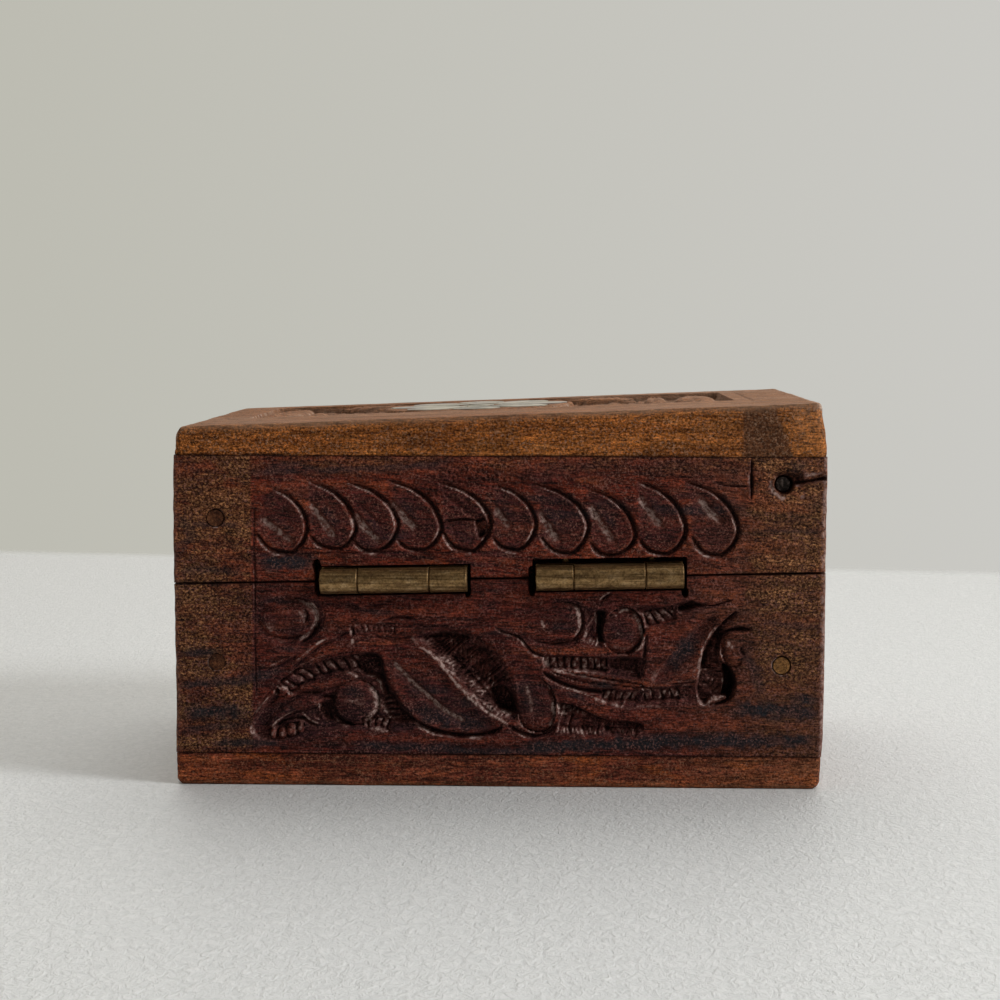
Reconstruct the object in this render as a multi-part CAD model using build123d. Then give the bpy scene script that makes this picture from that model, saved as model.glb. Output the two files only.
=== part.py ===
"""A small carved keepsake box: a boarded carcass sawn into a base and a hinged lid.

X runs from left to right as seen from the front, Y from front to rear, Z up, in millimetres.
The origin is on the surface that the box stands on, under the middle of the box.
The front and rear boards run the full width and lap over the ends of the two side boards.
The box was sawn open along a slightly sloping line, so the seam, and with it the hinge axis,
stands higher on the left than on the right. The lid board tapers the same way.
Most of the carving is surface work, so these boards have their uncarved size. Only the deep,
sunk carving of the lid board and of the base's front wall is cut here, in its main forms.
"""

from build123d import *
from math import atan2, degrees, hypot, radians, sin
import os

# ---- Driving dimensions ----------------------------------------------------------------

# Carcass
box_width = 112.0
box_depth = 70.0
bottom_thickness = 5.6
long_wall_thickness = 10.0
side_wall_thickness = 12.5
wall_top_height = 57.3
lid_height_left = 66.6
lid_height_right = 62.2
seam_height_left = 37.5
seam_height_right = 35.1
seam_gap = 0.25

# Worn arrises
corner_radius = 1.1
lid_edge_radius = 1.6
foot_edge_radius = 0.7

# Hinges, measured from the middle of the box to the middle of each hinge
left_hinge_offset = 19.1
right_hinge_offset = 17.9
hinge_length = 25.2
outer_knuckle_length = 6.4
knuckle_gap = 0.15
knuckle_chamfer = 0.18
axis_proud = 0.3
leaf_thickness = 1.1
leaf_reach = 8.4
leaf_relief = 0.3
pin_radius = 1.0
pin_clearance = 0.05
mortise_side_clearance = 0.6
mortise_end_clearance = 0.15
gutter_clearance = 0.4

# Hinge screws
screw_spacing = 15.0
screw_row = 5.5
screw_length = 9.0
screw_shank_radius = 0.75
screw_head_radius = 1.5
screw_head_depth = 0.75
screw_slot_width = 0.35
screw_slot_depth = 0.3
screw_clearance = 0.05

# Corner nails, driven through the front and rear boards into the ends of the side boards
nail_inset = 7.4
nail_length = 24.0
nail_shank_radius = 0.8
nail_head_radius = 1.2
nail_head_thickness = 0.6
nail_sink = 1.8
nail_clearance = 0.05
plug_radius = 1.4
base_nail_height = 21.5
lid_nail_height_rear_left = 52.6
lid_nail_height_rear_right = 46.5
lid_nail_height_front_left = 48.6
lid_nail_height_front_right = 47.2

# Nails that hold the bottom board
bottom_nail_length = 16.0
bottom_nail_sink = 0.4
bottom_nail_corner_setback = 14.0

# Shell rosette let into the lid board
rosette_x = 5.0
rosette_y = -8.0
petal_count = 8
petal_inner_radius = 3.8
petal_outer_radius = 16.8
petal_gap = 0.7
rosette_centre_radius = 2.8
inlay_thickness = 1.2
inlay_fit = 0.05

# Sunk carving: how deep the ground lies below the forms left standing on it
carving_depth = 1.2

# Panel in the lid board, with a raised round that carries the rosette
panel_from_x, panel_to_x = -42.0, 46.0
panel_from_y, panel_to_y = -27.5, 11.5
panel_corner_radius = 2.0
rosette_margin = 1.4
# Each leaf by its two tips, x and y, and its width; each berry by its middle and radius
panel_leaves = [
    (44.5, 7.5, 39.0, -24.5, 7.5),
    (33.5, 8.5, 17.5, 7.5, 4.5),
    (33.5, -24.6, 17.5, -23.8, 4.5),
    (-28.0, 6.0, -29.3, -24.8, 4.4),
    (-36.0, 8.0, -36.3, -25.5, 8.0),
    (-11.5, 8.6, -25.5, 7.0, 4.4),
    (-11.5, -24.8, -25.5, -23.4, 4.4),
]
panel_berries = [(34.5, 1.0, 2.0), (-20.5, 1.0, 1.8)]

# Flower in the middle of the front wall, and a spray on either side of it
flower_height = 20.5
flower_ground_radius = 6.4
flower_petal_count = 8
flower_petal_inner_radius = 1.6
flower_petal_outer_radius = 6.0
flower_petal_width = 2.5
flower_heart_radius = 2.0
spray_start = 5.5
spray_ground_middle = 17.0
spray_ground_half_length = 18.2
spray_ground_half_height = 7.9
# The same, measured from the spray's foot: outwards along the wall, and up
spray_leaves = [
    (-0.5, 0.0, 22.0, -0.6, 1.8),
    (6.5, 1.2, 11.6, 7.0, 3.8),
    (14.0, 0.8, 21.2, 6.4, 3.8),
    (8.5, -0.8, 15.6, -6.2, 3.8),
    (17.0, -1.0, 24.4, -5.6, 3.6),
    (21.5, -0.8, 34.4, -0.4, 6.4),
]
spray_berries = [(26.6, 4.7, 1.4), (27.8, -4.6, 1.3), (5.0, -4.0, 1.3)]

# ---- Derived sizes ---------------------------------------------------------------------

half_width = box_width / 2
half_depth = box_depth / 2
knuckle_radius = pin_radius + pin_clearance + leaf_thickness
inner_half_depth = half_depth - long_wall_thickness
inner_half_width = half_width - side_wall_thickness
seam_rise = (seam_height_right - seam_height_left) / box_width
seam_tilt = degrees(atan2(seam_height_right - seam_height_left, box_width))
lid_rise = (lid_height_right - lid_height_left) / box_width
lid_tilt = degrees(atan2(lid_height_right - lid_height_left, box_width))
hole_overrun = 0.5
rosette_round_radius = petal_outer_radius + rosette_margin

hinge_offsets = {"left": -left_hinge_offset, "right": right_hinge_offset}
nail_x = half_width - nail_inset


def ground(x):
    return 0.0


def bottom_top(x):
    return bottom_thickness


def seam_height(x):
    return (seam_height_left + seam_height_right) / 2 + seam_rise * x


def base_rim(x):
    return seam_height(x) - seam_gap / 2


def lid_rim(x):
    return seam_height(x) + seam_gap / 2


def wall_top(x):
    return wall_top_height


def lid_surface(x):
    return (lid_height_left + lid_height_right) / 2 + lid_rise * x


# ---- Helpers ---------------------------------------------------------------------------


def block(x_from, x_to, y_from, y_to, z_from, z_to):
    """A plain box between the given limits."""
    size = Box(x_to - x_from, y_to - y_from, z_to - z_from)
    return Pos((x_from + x_to) / 2, (y_from + y_to) / 2, (z_from + z_to) / 2) * size


def board(x_from, x_to, y_from, y_to, low, high):
    """A board whose lower and upper faces follow two heights along X."""
    outline = Polygon(
        (x_from, low(x_from)),
        (x_to, low(x_to)),
        (x_to, high(x_to)),
        (x_from, high(x_from)),
        align=None,
    )
    rear_plane = Plane(origin=(0, y_to, 0), x_dir=(1, 0, 0), z_dir=(0, -1, 0))
    return extrude(rear_plane * outline, amount=y_to - y_from)


def rod_along_x(x_from, x_to, radius):
    """A round bar on the X axis."""
    return Pos((x_from + x_to) / 2, 0, 0) * Rot(0, 90, 0) * Cylinder(radius, x_to - x_from)


def rod_up(z_from, z_to, radius):
    """A round bar on the Z axis."""
    return Pos(0, 0, (z_from + z_to) / 2) * Cylinder(radius, z_to - z_from)


def less(shape, cutters):
    """The shape with each cutter taken away."""
    for cutter in cutters:
        shape = shape - cutter
    return shape


def outer_corners(shape):
    """The upright edges of a board that lie on a corner of the box."""
    return [
        edge
        for edge in shape.edges().filter_by(Axis.Z)
        if abs(abs(edge.center().X) - half_width) < 0.01
        and abs(abs(edge.center().Y) - half_depth) < 0.01
    ]


def corner_rounded(shape):
    return fillet(outer_corners(shape), corner_radius)


# ---- Hinges, in their own frame --------------------------------------------------------
# X lies along the pin, Y points out of the rear of the box and Z away from the base.


def hinge_place(side):
    """Where a hinge's own frame stands: on the seam, just outside the rear face."""
    x = hinge_offsets[side]
    return Location((x, half_depth + axis_proud, seam_height(x)), (0, -seam_tilt, 0))


def knuckle_spans(leaf):
    """The stretches of the pin that one leaf's knuckles take up."""
    end = hinge_length / 2
    inner = end - outer_knuckle_length
    if leaf == "base":
        return [(-end, -inner), (inner, end)]
    return [(-inner + knuckle_gap, inner - knuckle_gap)]


def screw_points():
    return [(-screw_spacing / 2, -screw_row), (screw_spacing / 2, -screw_row)]


def screw(clearance=0.0):
    """A countersunk screw that points down from a head flush with Z = 0."""
    head = Pos(0, 0, -screw_head_depth / 2) * Cone(
        screw_shank_radius + clearance, screw_head_radius + clearance, screw_head_depth
    )
    return head + rod_up(-screw_length - clearance, -screw_head_depth / 2, screw_shank_radius + clearance)


def slotted_screw():
    slot = Box(2 * screw_head_radius + hole_overrun, screw_slot_width, 2 * screw_slot_depth)
    return screw() - slot


def base_leaf_flat():
    """The base leaf's inner face, which its screw heads are flush with."""
    return -knuckle_radius + leaf_thickness


def base_side_leaf(leaf):
    """One leaf with its knuckles, lying under the pin as on the base."""
    end = hinge_length / 2
    low, high = -knuckle_radius, base_leaf_flat()
    plate_edge = -knuckle_radius - leaf_relief
    shape = block(-end, end, -leaf_reach, plate_edge, low, high)
    for x_from, x_to in knuckle_spans(leaf):
        knuckle = rod_along_x(x_from, x_to, knuckle_radius)
        knuckle = chamfer(knuckle.edges().filter_by(GeomType.CIRCLE), knuckle_chamfer)
        shape = shape + knuckle + block(x_from, x_to, plate_edge, 0, low, high)
    shape = shape - rod_along_x(-end - hole_overrun, end + hole_overrun, pin_radius + pin_clearance)
    for x, y in screw_points():
        shape = shape - Pos(x, y, high) * screw(screw_clearance)
    return shape


def turned_over(shape):
    """From a place under the pin to the same place above it, as on the lid."""
    return mirror(shape, about=Plane.XY)


def base_leaf():
    return base_side_leaf("base")


def lid_leaf():
    return turned_over(base_side_leaf("lid"))


def hinge_pin():
    return rod_along_x(-hinge_length / 2, hinge_length / 2, pin_radius)


def base_screws():
    return [Pos(x, y, base_leaf_flat()) * slotted_screw() for x, y in screw_points()]


def base_mortise():
    """What is cut from the base's rear wall for a hinge: leaf bed, knuckle gutter, pilot holes."""
    end = hinge_length / 2 + mortise_side_clearance
    above = seam_gap
    outside = knuckle_radius + hole_overrun
    bed = block(-end, end, -leaf_reach - mortise_end_clearance, outside, -knuckle_radius, above)
    gutter_edge = knuckle_radius + gutter_clearance
    gutter = block(-end, end, -gutter_edge, outside, -gutter_edge, above)
    shape = bed + gutter
    for x, y in screw_points():
        shape = shape + Pos(x, y, base_leaf_flat()) * screw(screw_clearance)
    return shape


def fitted(side, shape):
    """A shape of the hinge frame, moved to where that hinge is."""
    return hinge_place(side) * shape


# ---- Nails and plugs -------------------------------------------------------------------


def nail(length, clearance=0.0):
    """A nail that points down from a head whose top is at Z = 0."""
    head = rod_up(-nail_head_thickness - clearance, 0, nail_head_radius + clearance)
    return head + rod_up(-length - clearance, -nail_head_thickness / 2, nail_shank_radius + clearance)


def corner_nail_frame(x, y_sign, z):
    """Z points out of the front or rear face at the place of a corner nail."""
    return Location((x, y_sign * half_depth, z), (-90 * y_sign, 0, 0))


def corner_nail(place):
    return place * Pos(0, 0, -nail_sink) * nail(nail_length)


def nail_plug(place):
    return place * rod_up(-nail_sink, 0, plug_radius)


def corner_nail_hole(place):
    """The counterbore that the plug fills and the hole that the nail has made."""
    bore = rod_up(-nail_sink - nail_head_thickness - nail_clearance, hole_overrun, plug_radius + nail_clearance)
    return place * (bore + Pos(0, 0, -nail_sink) * nail(nail_length, nail_clearance))


def bottom_nail_points():
    """Over the middle of each wall: four at the ends of the side walls, two in the long walls."""
    side_x = inner_half_width + side_wall_thickness / 2
    side_y = half_depth - bottom_nail_corner_setback
    long_y = inner_half_depth + long_wall_thickness / 2
    corners = [(x, y) for x in (-side_x, side_x) for y in (-side_y, side_y)]
    return corners + [(0, -long_y), (0, long_y)]


def bottom_nail(x, y, clearance=0.0):
    return Pos(x, y, bottom_nail_sink) * Rot(180, 0, 0) * nail(bottom_nail_length, clearance)


def bottom_nail_hole(x, y):
    mouth = Pos(x, y, 0) * rod_up(-hole_overrun, bottom_nail_sink, nail_head_radius + nail_clearance)
    return bottom_nail(x, y, nail_clearance) + mouth


# ---- Rosette, in the plane of the lid's upper face --------------------------------------


def rosette_place():
    return Location((rosette_x, rosette_y, lid_surface(rosette_x)), (0, -lid_tilt, 0))


def petal(clearance):
    """A wedge with round ends and straight sides, which keeps petal_gap from its neighbours."""
    spread = sin(radians(180 / petal_count))
    half_gap = petal_gap / 2
    inner_middle = (petal_inner_radius - half_gap) / (1 - spread)
    outer_middle = (petal_outer_radius + half_gap) / (1 + spread)
    ends = [(inner_middle, inner_middle * spread - half_gap), (outer_middle, outer_middle * spread - half_gap)]
    circles = [(Pos(x, 0) * Circle(radius + clearance)).edge() for x, radius in ends]
    return extrude(make_hull(circles), amount=-inlay_thickness - clearance)


def petals(clearance=0.0):
    one = petal(clearance)
    return [rosette_place() * Rot(0, 0, i * 360 / petal_count) * one for i in range(petal_count)]


def rosette_centre(clearance=0.0):
    return rosette_place() * rod_up(-inlay_thickness - clearance, 0, rosette_centre_radius + clearance)


# ---- Sunk carving ----------------------------------------------------------------------


def leaf(x_from, y_from, x_to, y_to, width):
    """A flat leaf between its two tips, made of two arcs."""
    length = hypot(x_to - x_from, y_to - y_from)
    upper = ThreePointArc((0, 0), (length / 2, width / 2), (length, 0))
    lower = ThreePointArc((length, 0), (length / 2, -width / 2), (0, 0))
    turn = degrees(atan2(y_to - y_from, x_to - x_from))
    return Location((x_from, y_from, 0), (0, 0, turn)) * make_face([upper, lower])


def berry(x, y, radius):
    return Pos(x, y) * Circle(radius)


def sunk(plane, grounds, standing):
    """What is cut away to let the ground down round the forms left standing."""
    above = plane.offset(hole_overrun)
    depth = carving_depth + hole_overrun
    cutter = extrude(above * grounds[0], amount=-depth)
    for ground_face in grounds[1:]:
        cutter = cutter + extrude(above * ground_face, amount=-depth)
    return less(cutter, [extrude(above * form, amount=-depth) for form in standing])


def lid_panel():
    """The sunk panel of the lid board, in the plane of its upper face."""
    plane = Plane(Location((0, 0, lid_surface(0)), (0, -lid_tilt, 0)))
    middle = Pos((panel_from_x + panel_to_x) / 2, (panel_from_y + panel_to_y) / 2)
    size = (panel_to_x - panel_from_x, panel_to_y - panel_from_y)
    panel = middle * RectangleRounded(*size, panel_corner_radius)
    standing = [berry(rosette_x, rosette_y, rosette_round_radius)]
    standing += [leaf(*tips) for tips in panel_leaves] + [berry(*place) for place in panel_berries]
    return sunk(plane, [panel], standing)


def front_spray(side):
    """The ground and the forms of the spray that runs to the right (+1) or the left (-1)."""
    foot = Pos(side * spray_start, flower_height)
    spread = Ellipse(spray_ground_half_length, spray_ground_half_height)
    forms = [leaf(side * a, b, side * c, d, width) for a, b, c, d, width in spray_leaves]
    forms += [berry(side * a, b, radius) for a, b, radius in spray_berries]
    return foot * Pos(side * spray_ground_middle, 0) * spread, [foot * form for form in forms]


def front_flower():
    """The ground and the forms of the flower between the sprays."""
    middle = Pos(0, flower_height)
    one = leaf(flower_petal_inner_radius, 0, flower_petal_outer_radius, 0, flower_petal_width)
    turns = [(i + 0.5) * 360 / flower_petal_count for i in range(flower_petal_count)]
    forms = [middle * Rot(0, 0, turn) * one for turn in turns]
    return middle * Circle(flower_ground_radius), forms + [middle * Circle(flower_heart_radius)]


def front_carving():
    plane = Plane(origin=(0, -half_depth, 0), x_dir=(1, 0, 0), z_dir=(0, -1, 0))
    grounds, standing = [], []
    for ground_face, forms in (front_flower(), front_spray(1), front_spray(-1)):
        grounds.append(ground_face)
        standing += forms
    return sunk(plane, grounds, standing)


# ---- Boards ----------------------------------------------------------------------------

corner_nails = {
    "base": [
        corner_nail_frame(x, y_sign, base_nail_height) for x in (-nail_x, nail_x) for y_sign in (-1, 1)
    ],
    "lid": [
        corner_nail_frame(-nail_x, 1, lid_nail_height_rear_left),
        corner_nail_frame(nail_x, 1, lid_nail_height_rear_right),
        corner_nail_frame(-nail_x, -1, lid_nail_height_front_left),
        corner_nail_frame(nail_x, -1, lid_nail_height_front_right),
    ],
}


def wall_holes(part):
    holes = [corner_nail_hole(place) for place in corner_nails[part]]
    if part == "base":
        holes += [bottom_nail_hole(x, y) for x, y in bottom_nail_points()]
    return holes


def long_wall(part, y_sign, low, high):
    """The front (-1) or rear (+1) wall of the base or the lid."""
    y_inner, y_outer = y_sign * inner_half_depth, y_sign * half_depth
    shape = board(-half_width, half_width, min(y_inner, y_outer), max(y_inner, y_outer), low, high)
    shape = corner_rounded(shape)
    if y_sign > 0:
        mortise = base_mortise() if part == "base" else turned_over(base_mortise())
        shape = less(shape, [fitted(side, mortise) for side in hinge_offsets])
    elif part == "base":
        shape = shape - front_carving()
    return less(shape, wall_holes(part))


def side_wall(part, x_sign, low, high):
    """The left (-1) or right (+1) wall, which stands between the front and rear walls."""
    x_inner, x_outer = x_sign * inner_half_width, x_sign * half_width
    shape = board(
        min(x_inner, x_outer), max(x_inner, x_outer), -inner_half_depth, inner_half_depth, low, high
    )
    return less(shape, wall_holes(part))


def bottom_board():
    shape = board(-half_width, half_width, -half_depth, half_depth, ground, bottom_top)
    shape = corner_rounded(shape)
    shape = fillet(shape.faces().sort_by(Axis.Z)[0].edges(), foot_edge_radius)
    return less(shape, [bottom_nail_hole(x, y) for x, y in bottom_nail_points()])


def lid_board():
    shape = board(-half_width, half_width, -half_depth, half_depth, wall_top, lid_surface)
    shape = corner_rounded(shape)
    shape = fillet(shape.faces().sort_by(Axis.Z)[-1].edges(), lid_edge_radius)
    return less(shape, [lid_panel()] + petals(inlay_fit) + [rosette_centre(inlay_fit)])


# ---- The nodes -------------------------------------------------------------------------

nodes = {
    "base_bottom_board": [bottom_board()],
    "base_front_wall": [long_wall("base", -1, bottom_top, base_rim)],
    "base_rear_wall": [long_wall("base", 1, bottom_top, base_rim)],
    "base_left_wall": [side_wall("base", -1, bottom_top, base_rim)],
    "base_right_wall": [side_wall("base", 1, bottom_top, base_rim)],
    "base_corner_nails": [corner_nail(place) for place in corner_nails["base"]],
    "base_nail_plugs": [nail_plug(place) for place in corner_nails["base"]],
    "base_bottom_nails": [bottom_nail(x, y) for x, y in bottom_nail_points()],
    "lid_top_board": [lid_board()],
    "lid_front_wall": [long_wall("lid", -1, lid_rim, wall_top)],
    "lid_rear_wall": [long_wall("lid", 1, lid_rim, wall_top)],
    "lid_left_wall": [side_wall("lid", -1, lid_rim, wall_top)],
    "lid_right_wall": [side_wall("lid", 1, lid_rim, wall_top)],
    "lid_corner_nails": [corner_nail(place) for place in corner_nails["lid"]],
    # The plug over the rear left nail has fallen out, so that hole stays open.
    "lid_nail_plugs": [nail_plug(place) for place in corner_nails["lid"][1:]],
    "lid_inlay_petals": petals(),
    "lid_inlay_centre": [rosette_centre()],
}

for side in hinge_offsets:
    nodes[f"{side}_hinge_base_leaf"] = [fitted(side, base_leaf())]
    nodes[f"{side}_hinge_lid_leaf"] = [fitted(side, lid_leaf())]
    nodes[f"{side}_hinge_pin"] = [fitted(side, hinge_pin())]
    nodes[f"{side}_hinge_base_screws"] = [fitted(side, one) for one in base_screws()]
    nodes[f"{side}_hinge_lid_screws"] = [fitted(side, turned_over(one)) for one in base_screws()]

os.makedirs("parts", exist_ok=True)
for name, shapes in nodes.items():
    solids = [solid for shape in shapes for solid in shape.solids()]
    export_step(Compound(solids) if len(solids) > 1 else solids[0], f"parts/{name}.step")
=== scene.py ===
"""Dressing of a small carved keepsake box.

Every board gets a carved outer face on a fine grid, and the board's thickness behind it.
Lengths in the carving are in millimetres; the finished meshes are in metres.
"""

from math import cos, hypot, pi, radians, sin

import bmesh
import bpy
import numpy as np
from mathutils import Matrix, Vector

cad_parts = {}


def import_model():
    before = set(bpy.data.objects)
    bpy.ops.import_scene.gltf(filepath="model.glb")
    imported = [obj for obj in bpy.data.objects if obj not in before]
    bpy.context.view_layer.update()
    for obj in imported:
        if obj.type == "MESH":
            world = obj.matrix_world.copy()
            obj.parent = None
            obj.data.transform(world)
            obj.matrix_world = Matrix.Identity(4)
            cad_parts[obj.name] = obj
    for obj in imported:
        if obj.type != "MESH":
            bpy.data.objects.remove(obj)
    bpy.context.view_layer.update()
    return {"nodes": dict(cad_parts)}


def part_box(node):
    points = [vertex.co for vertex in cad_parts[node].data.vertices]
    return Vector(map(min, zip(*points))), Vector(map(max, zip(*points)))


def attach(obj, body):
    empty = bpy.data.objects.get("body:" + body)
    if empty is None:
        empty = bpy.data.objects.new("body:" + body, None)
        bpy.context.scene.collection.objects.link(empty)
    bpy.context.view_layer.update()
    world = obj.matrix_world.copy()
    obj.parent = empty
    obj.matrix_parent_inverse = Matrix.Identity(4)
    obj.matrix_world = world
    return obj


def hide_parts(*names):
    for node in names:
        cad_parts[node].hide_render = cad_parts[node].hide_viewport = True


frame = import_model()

MM = 0.001

# ---- Sizes -----------------------------------------------------------------------------


def box_mm(node):
    """A node's lowest and highest corners in millimetres."""
    low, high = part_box(node)
    return [c / MM for c in low], [c / MM for c in high]


wall_low, wall_high = box_mm("base_rear_wall")
side_low, side_high = box_mm("base_right_wall")

half_width = wall_high[0]
half_depth = wall_high[1]
side_inner = side_low[0]
floor_top = wall_low[2]
wall_top = box_mm("lid_rear_wall")[1][2]

rim_left = wall_high[2]
rim_slope = (side_high[2] - rim_left) / (side_inner + half_width)
seam_gap = 0.25
seam_middle = rim_left + rim_slope * half_width + seam_gap / 2

lid_height_left = 66.6
lid_height_right = 62.2
lid_board_thickness = 9.0
lid_slope = (lid_height_right - lid_height_left) / (2 * half_width)
lid_middle = (lid_height_left + lid_height_right) / 2

hinge_centres = {"left": -19.1, "right": 17.9}
hinge_half = 12.6
knuckle_radius = 2.15
leaf_reach = 8.55
notch_side_gap = 0.6
notch_rise = (0.45, 1.05)
corner_radius = 1.1
carving_depth = 1.2
flower_height = 20.5
nail_column = 48.6
base_nail_height = 21.5
lid_nail_heights = (46.5, 52.6)
front_lid_nail_heights = (48.6, 47.2)
plug_radius, plug_depth = 1.5, 1.85
bottom_nails = [(x, y) for x in (-49.75, 49.75) for y in (-21, 21)] + [(0, -30), (0, 30)]
bottom_nail_radius, bottom_nail_depth = 1.35, 1.2

rear_grid, wall_grid, lid_grid, bottom_grid = 0.205, 0.26, 0.34, 0.5
finish_and_light_layers = ("grime", "rub", "cut", "streak", "warm", "plain", "film")


def seam(x):
    return seam_middle + rim_slope * x


def lid_surface(x):
    return lid_middle + lid_slope * x


# ---- Curves and noise on the grid ------------------------------------------------------


def flowing(points, closed=False, steps=6):
    """A smooth line through the points."""
    p = [np.array(q, float) for q in points]
    if closed:
        p = [p[-1]] + p + p[:2]
    else:
        p = [2 * p[0] - p[1]] + p + [2 * p[-1] - p[-2]]
    line = []
    for a, b, c, d in zip(p, p[1:], p[2:], p[3:]):
        for t in np.arange(steps) / steps:
            line.append(
                0.5 * (2 * b + (c - a) * t + (2 * a - 5 * b + 4 * c - d) * t**2
                       + (3 * b - a - 3 * c + d) * t**3)
            )
    if not closed:
        line.append(p[-2])
    return np.array(line)


def oval(centre, radii, turn=0.0, steps=28):
    """A closed oval, turned by an angle in degrees."""
    t = np.arange(steps) * 2 * pi / steps
    x, y = radii[0] * np.cos(t), radii[1] * np.sin(t)
    c, s = cos(radians(turn)), sin(radians(turn))
    return np.stack([centre[0] + c * x - s * y, centre[1] + s * x + c * y], 1)


def measure(u, v, line):
    """Each grid point's distance from a line, the side it is on, and how far along it lies."""
    distance = np.full(u.shape, 1e9)
    side = np.ones(u.shape)
    along = np.zeros(u.shape)
    start = 0.0
    for (ax, ay), (bx, by) in zip(line, line[1:]):
        dx, dy = bx - ax, by - ay
        length = hypot(dx, dy)
        if length < 1e-9:
            continue
        t = np.clip(((u - ax) * dx + (v - ay) * dy) / length**2, 0, 1)
        d = np.hypot(u - ax - t * dx, v - ay - t * dy)
        nearer = d < distance
        distance = np.where(nearer, d, distance)
        side = np.where(nearer, np.sign(dx * (v - ay) - dy * (u - ax)), side)
        along = np.where(nearer, start + t * length, along)
        start += length
    return distance, side, along, start


def within(u, v, outline):
    """Which grid points lie inside a closed outline."""
    hit = np.zeros(u.shape, bool)
    for (ax, ay), (bx, by) in zip(outline, np.roll(outline, -1, axis=0)):
        if ay != by:
            hit ^= ((v > ay) != (v > by)) & (u < (bx - ax) * (v - ay) / (by - ay) + ax)
    return hit


def smooth_noise(u, v, size, seed):
    """Soft random hills from -1 to 1, size millimetres apart."""
    a, b = u / size[0] + 500, v / size[1] + 500
    i, j = np.floor(a).astype(int), np.floor(b).astype(int)
    lattice = np.random.default_rng(seed).uniform(-1, 1, (257, 263))
    x, y = a - i, b - j
    x, y = x * x * (3 - 2 * x), y * y * (3 - 2 * y)

    def corner(m, n):
        return lattice[(i + m) % 257, (j + n) % 263]

    low = corner(0, 0) * (1 - x) + corner(1, 0) * x
    high = corner(0, 1) * (1 - x) + corner(1, 1) * x
    return low * (1 - y) + high * y


def blurred(values, radius):
    """The average of each point's square neighbourhood, twice over."""
    for _ in range(2):
        for axis in (0, 1):
            pad = [(0, 0), (0, 0)]
            pad[axis] = (radius + 1, radius)
            total = np.cumsum(np.pad(values, pad, mode="edge"), axis=axis)
            size = values.shape[axis]
            upper = np.take(total, np.arange(size) + 2 * radius + 1, axis=axis)
            lower = np.take(total, np.arange(size), axis=axis)
            values = (upper - lower) / (2 * radius + 1)
    return values


def eased(t):
    """0 below 0, 1 above 1, smooth between."""
    t = np.clip(t, 0, 1)
    return t * t * (3 - 2 * t)


def quarter_round(t):
    """The fall of a rounded edge: 1 at the edge, where t is 0, and level where t is 1."""
    return 1 - np.sqrt(np.clip(1 - (1 - t) ** 2, 0, 1))


# ---- Carving ---------------------------------------------------------------------------


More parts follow.
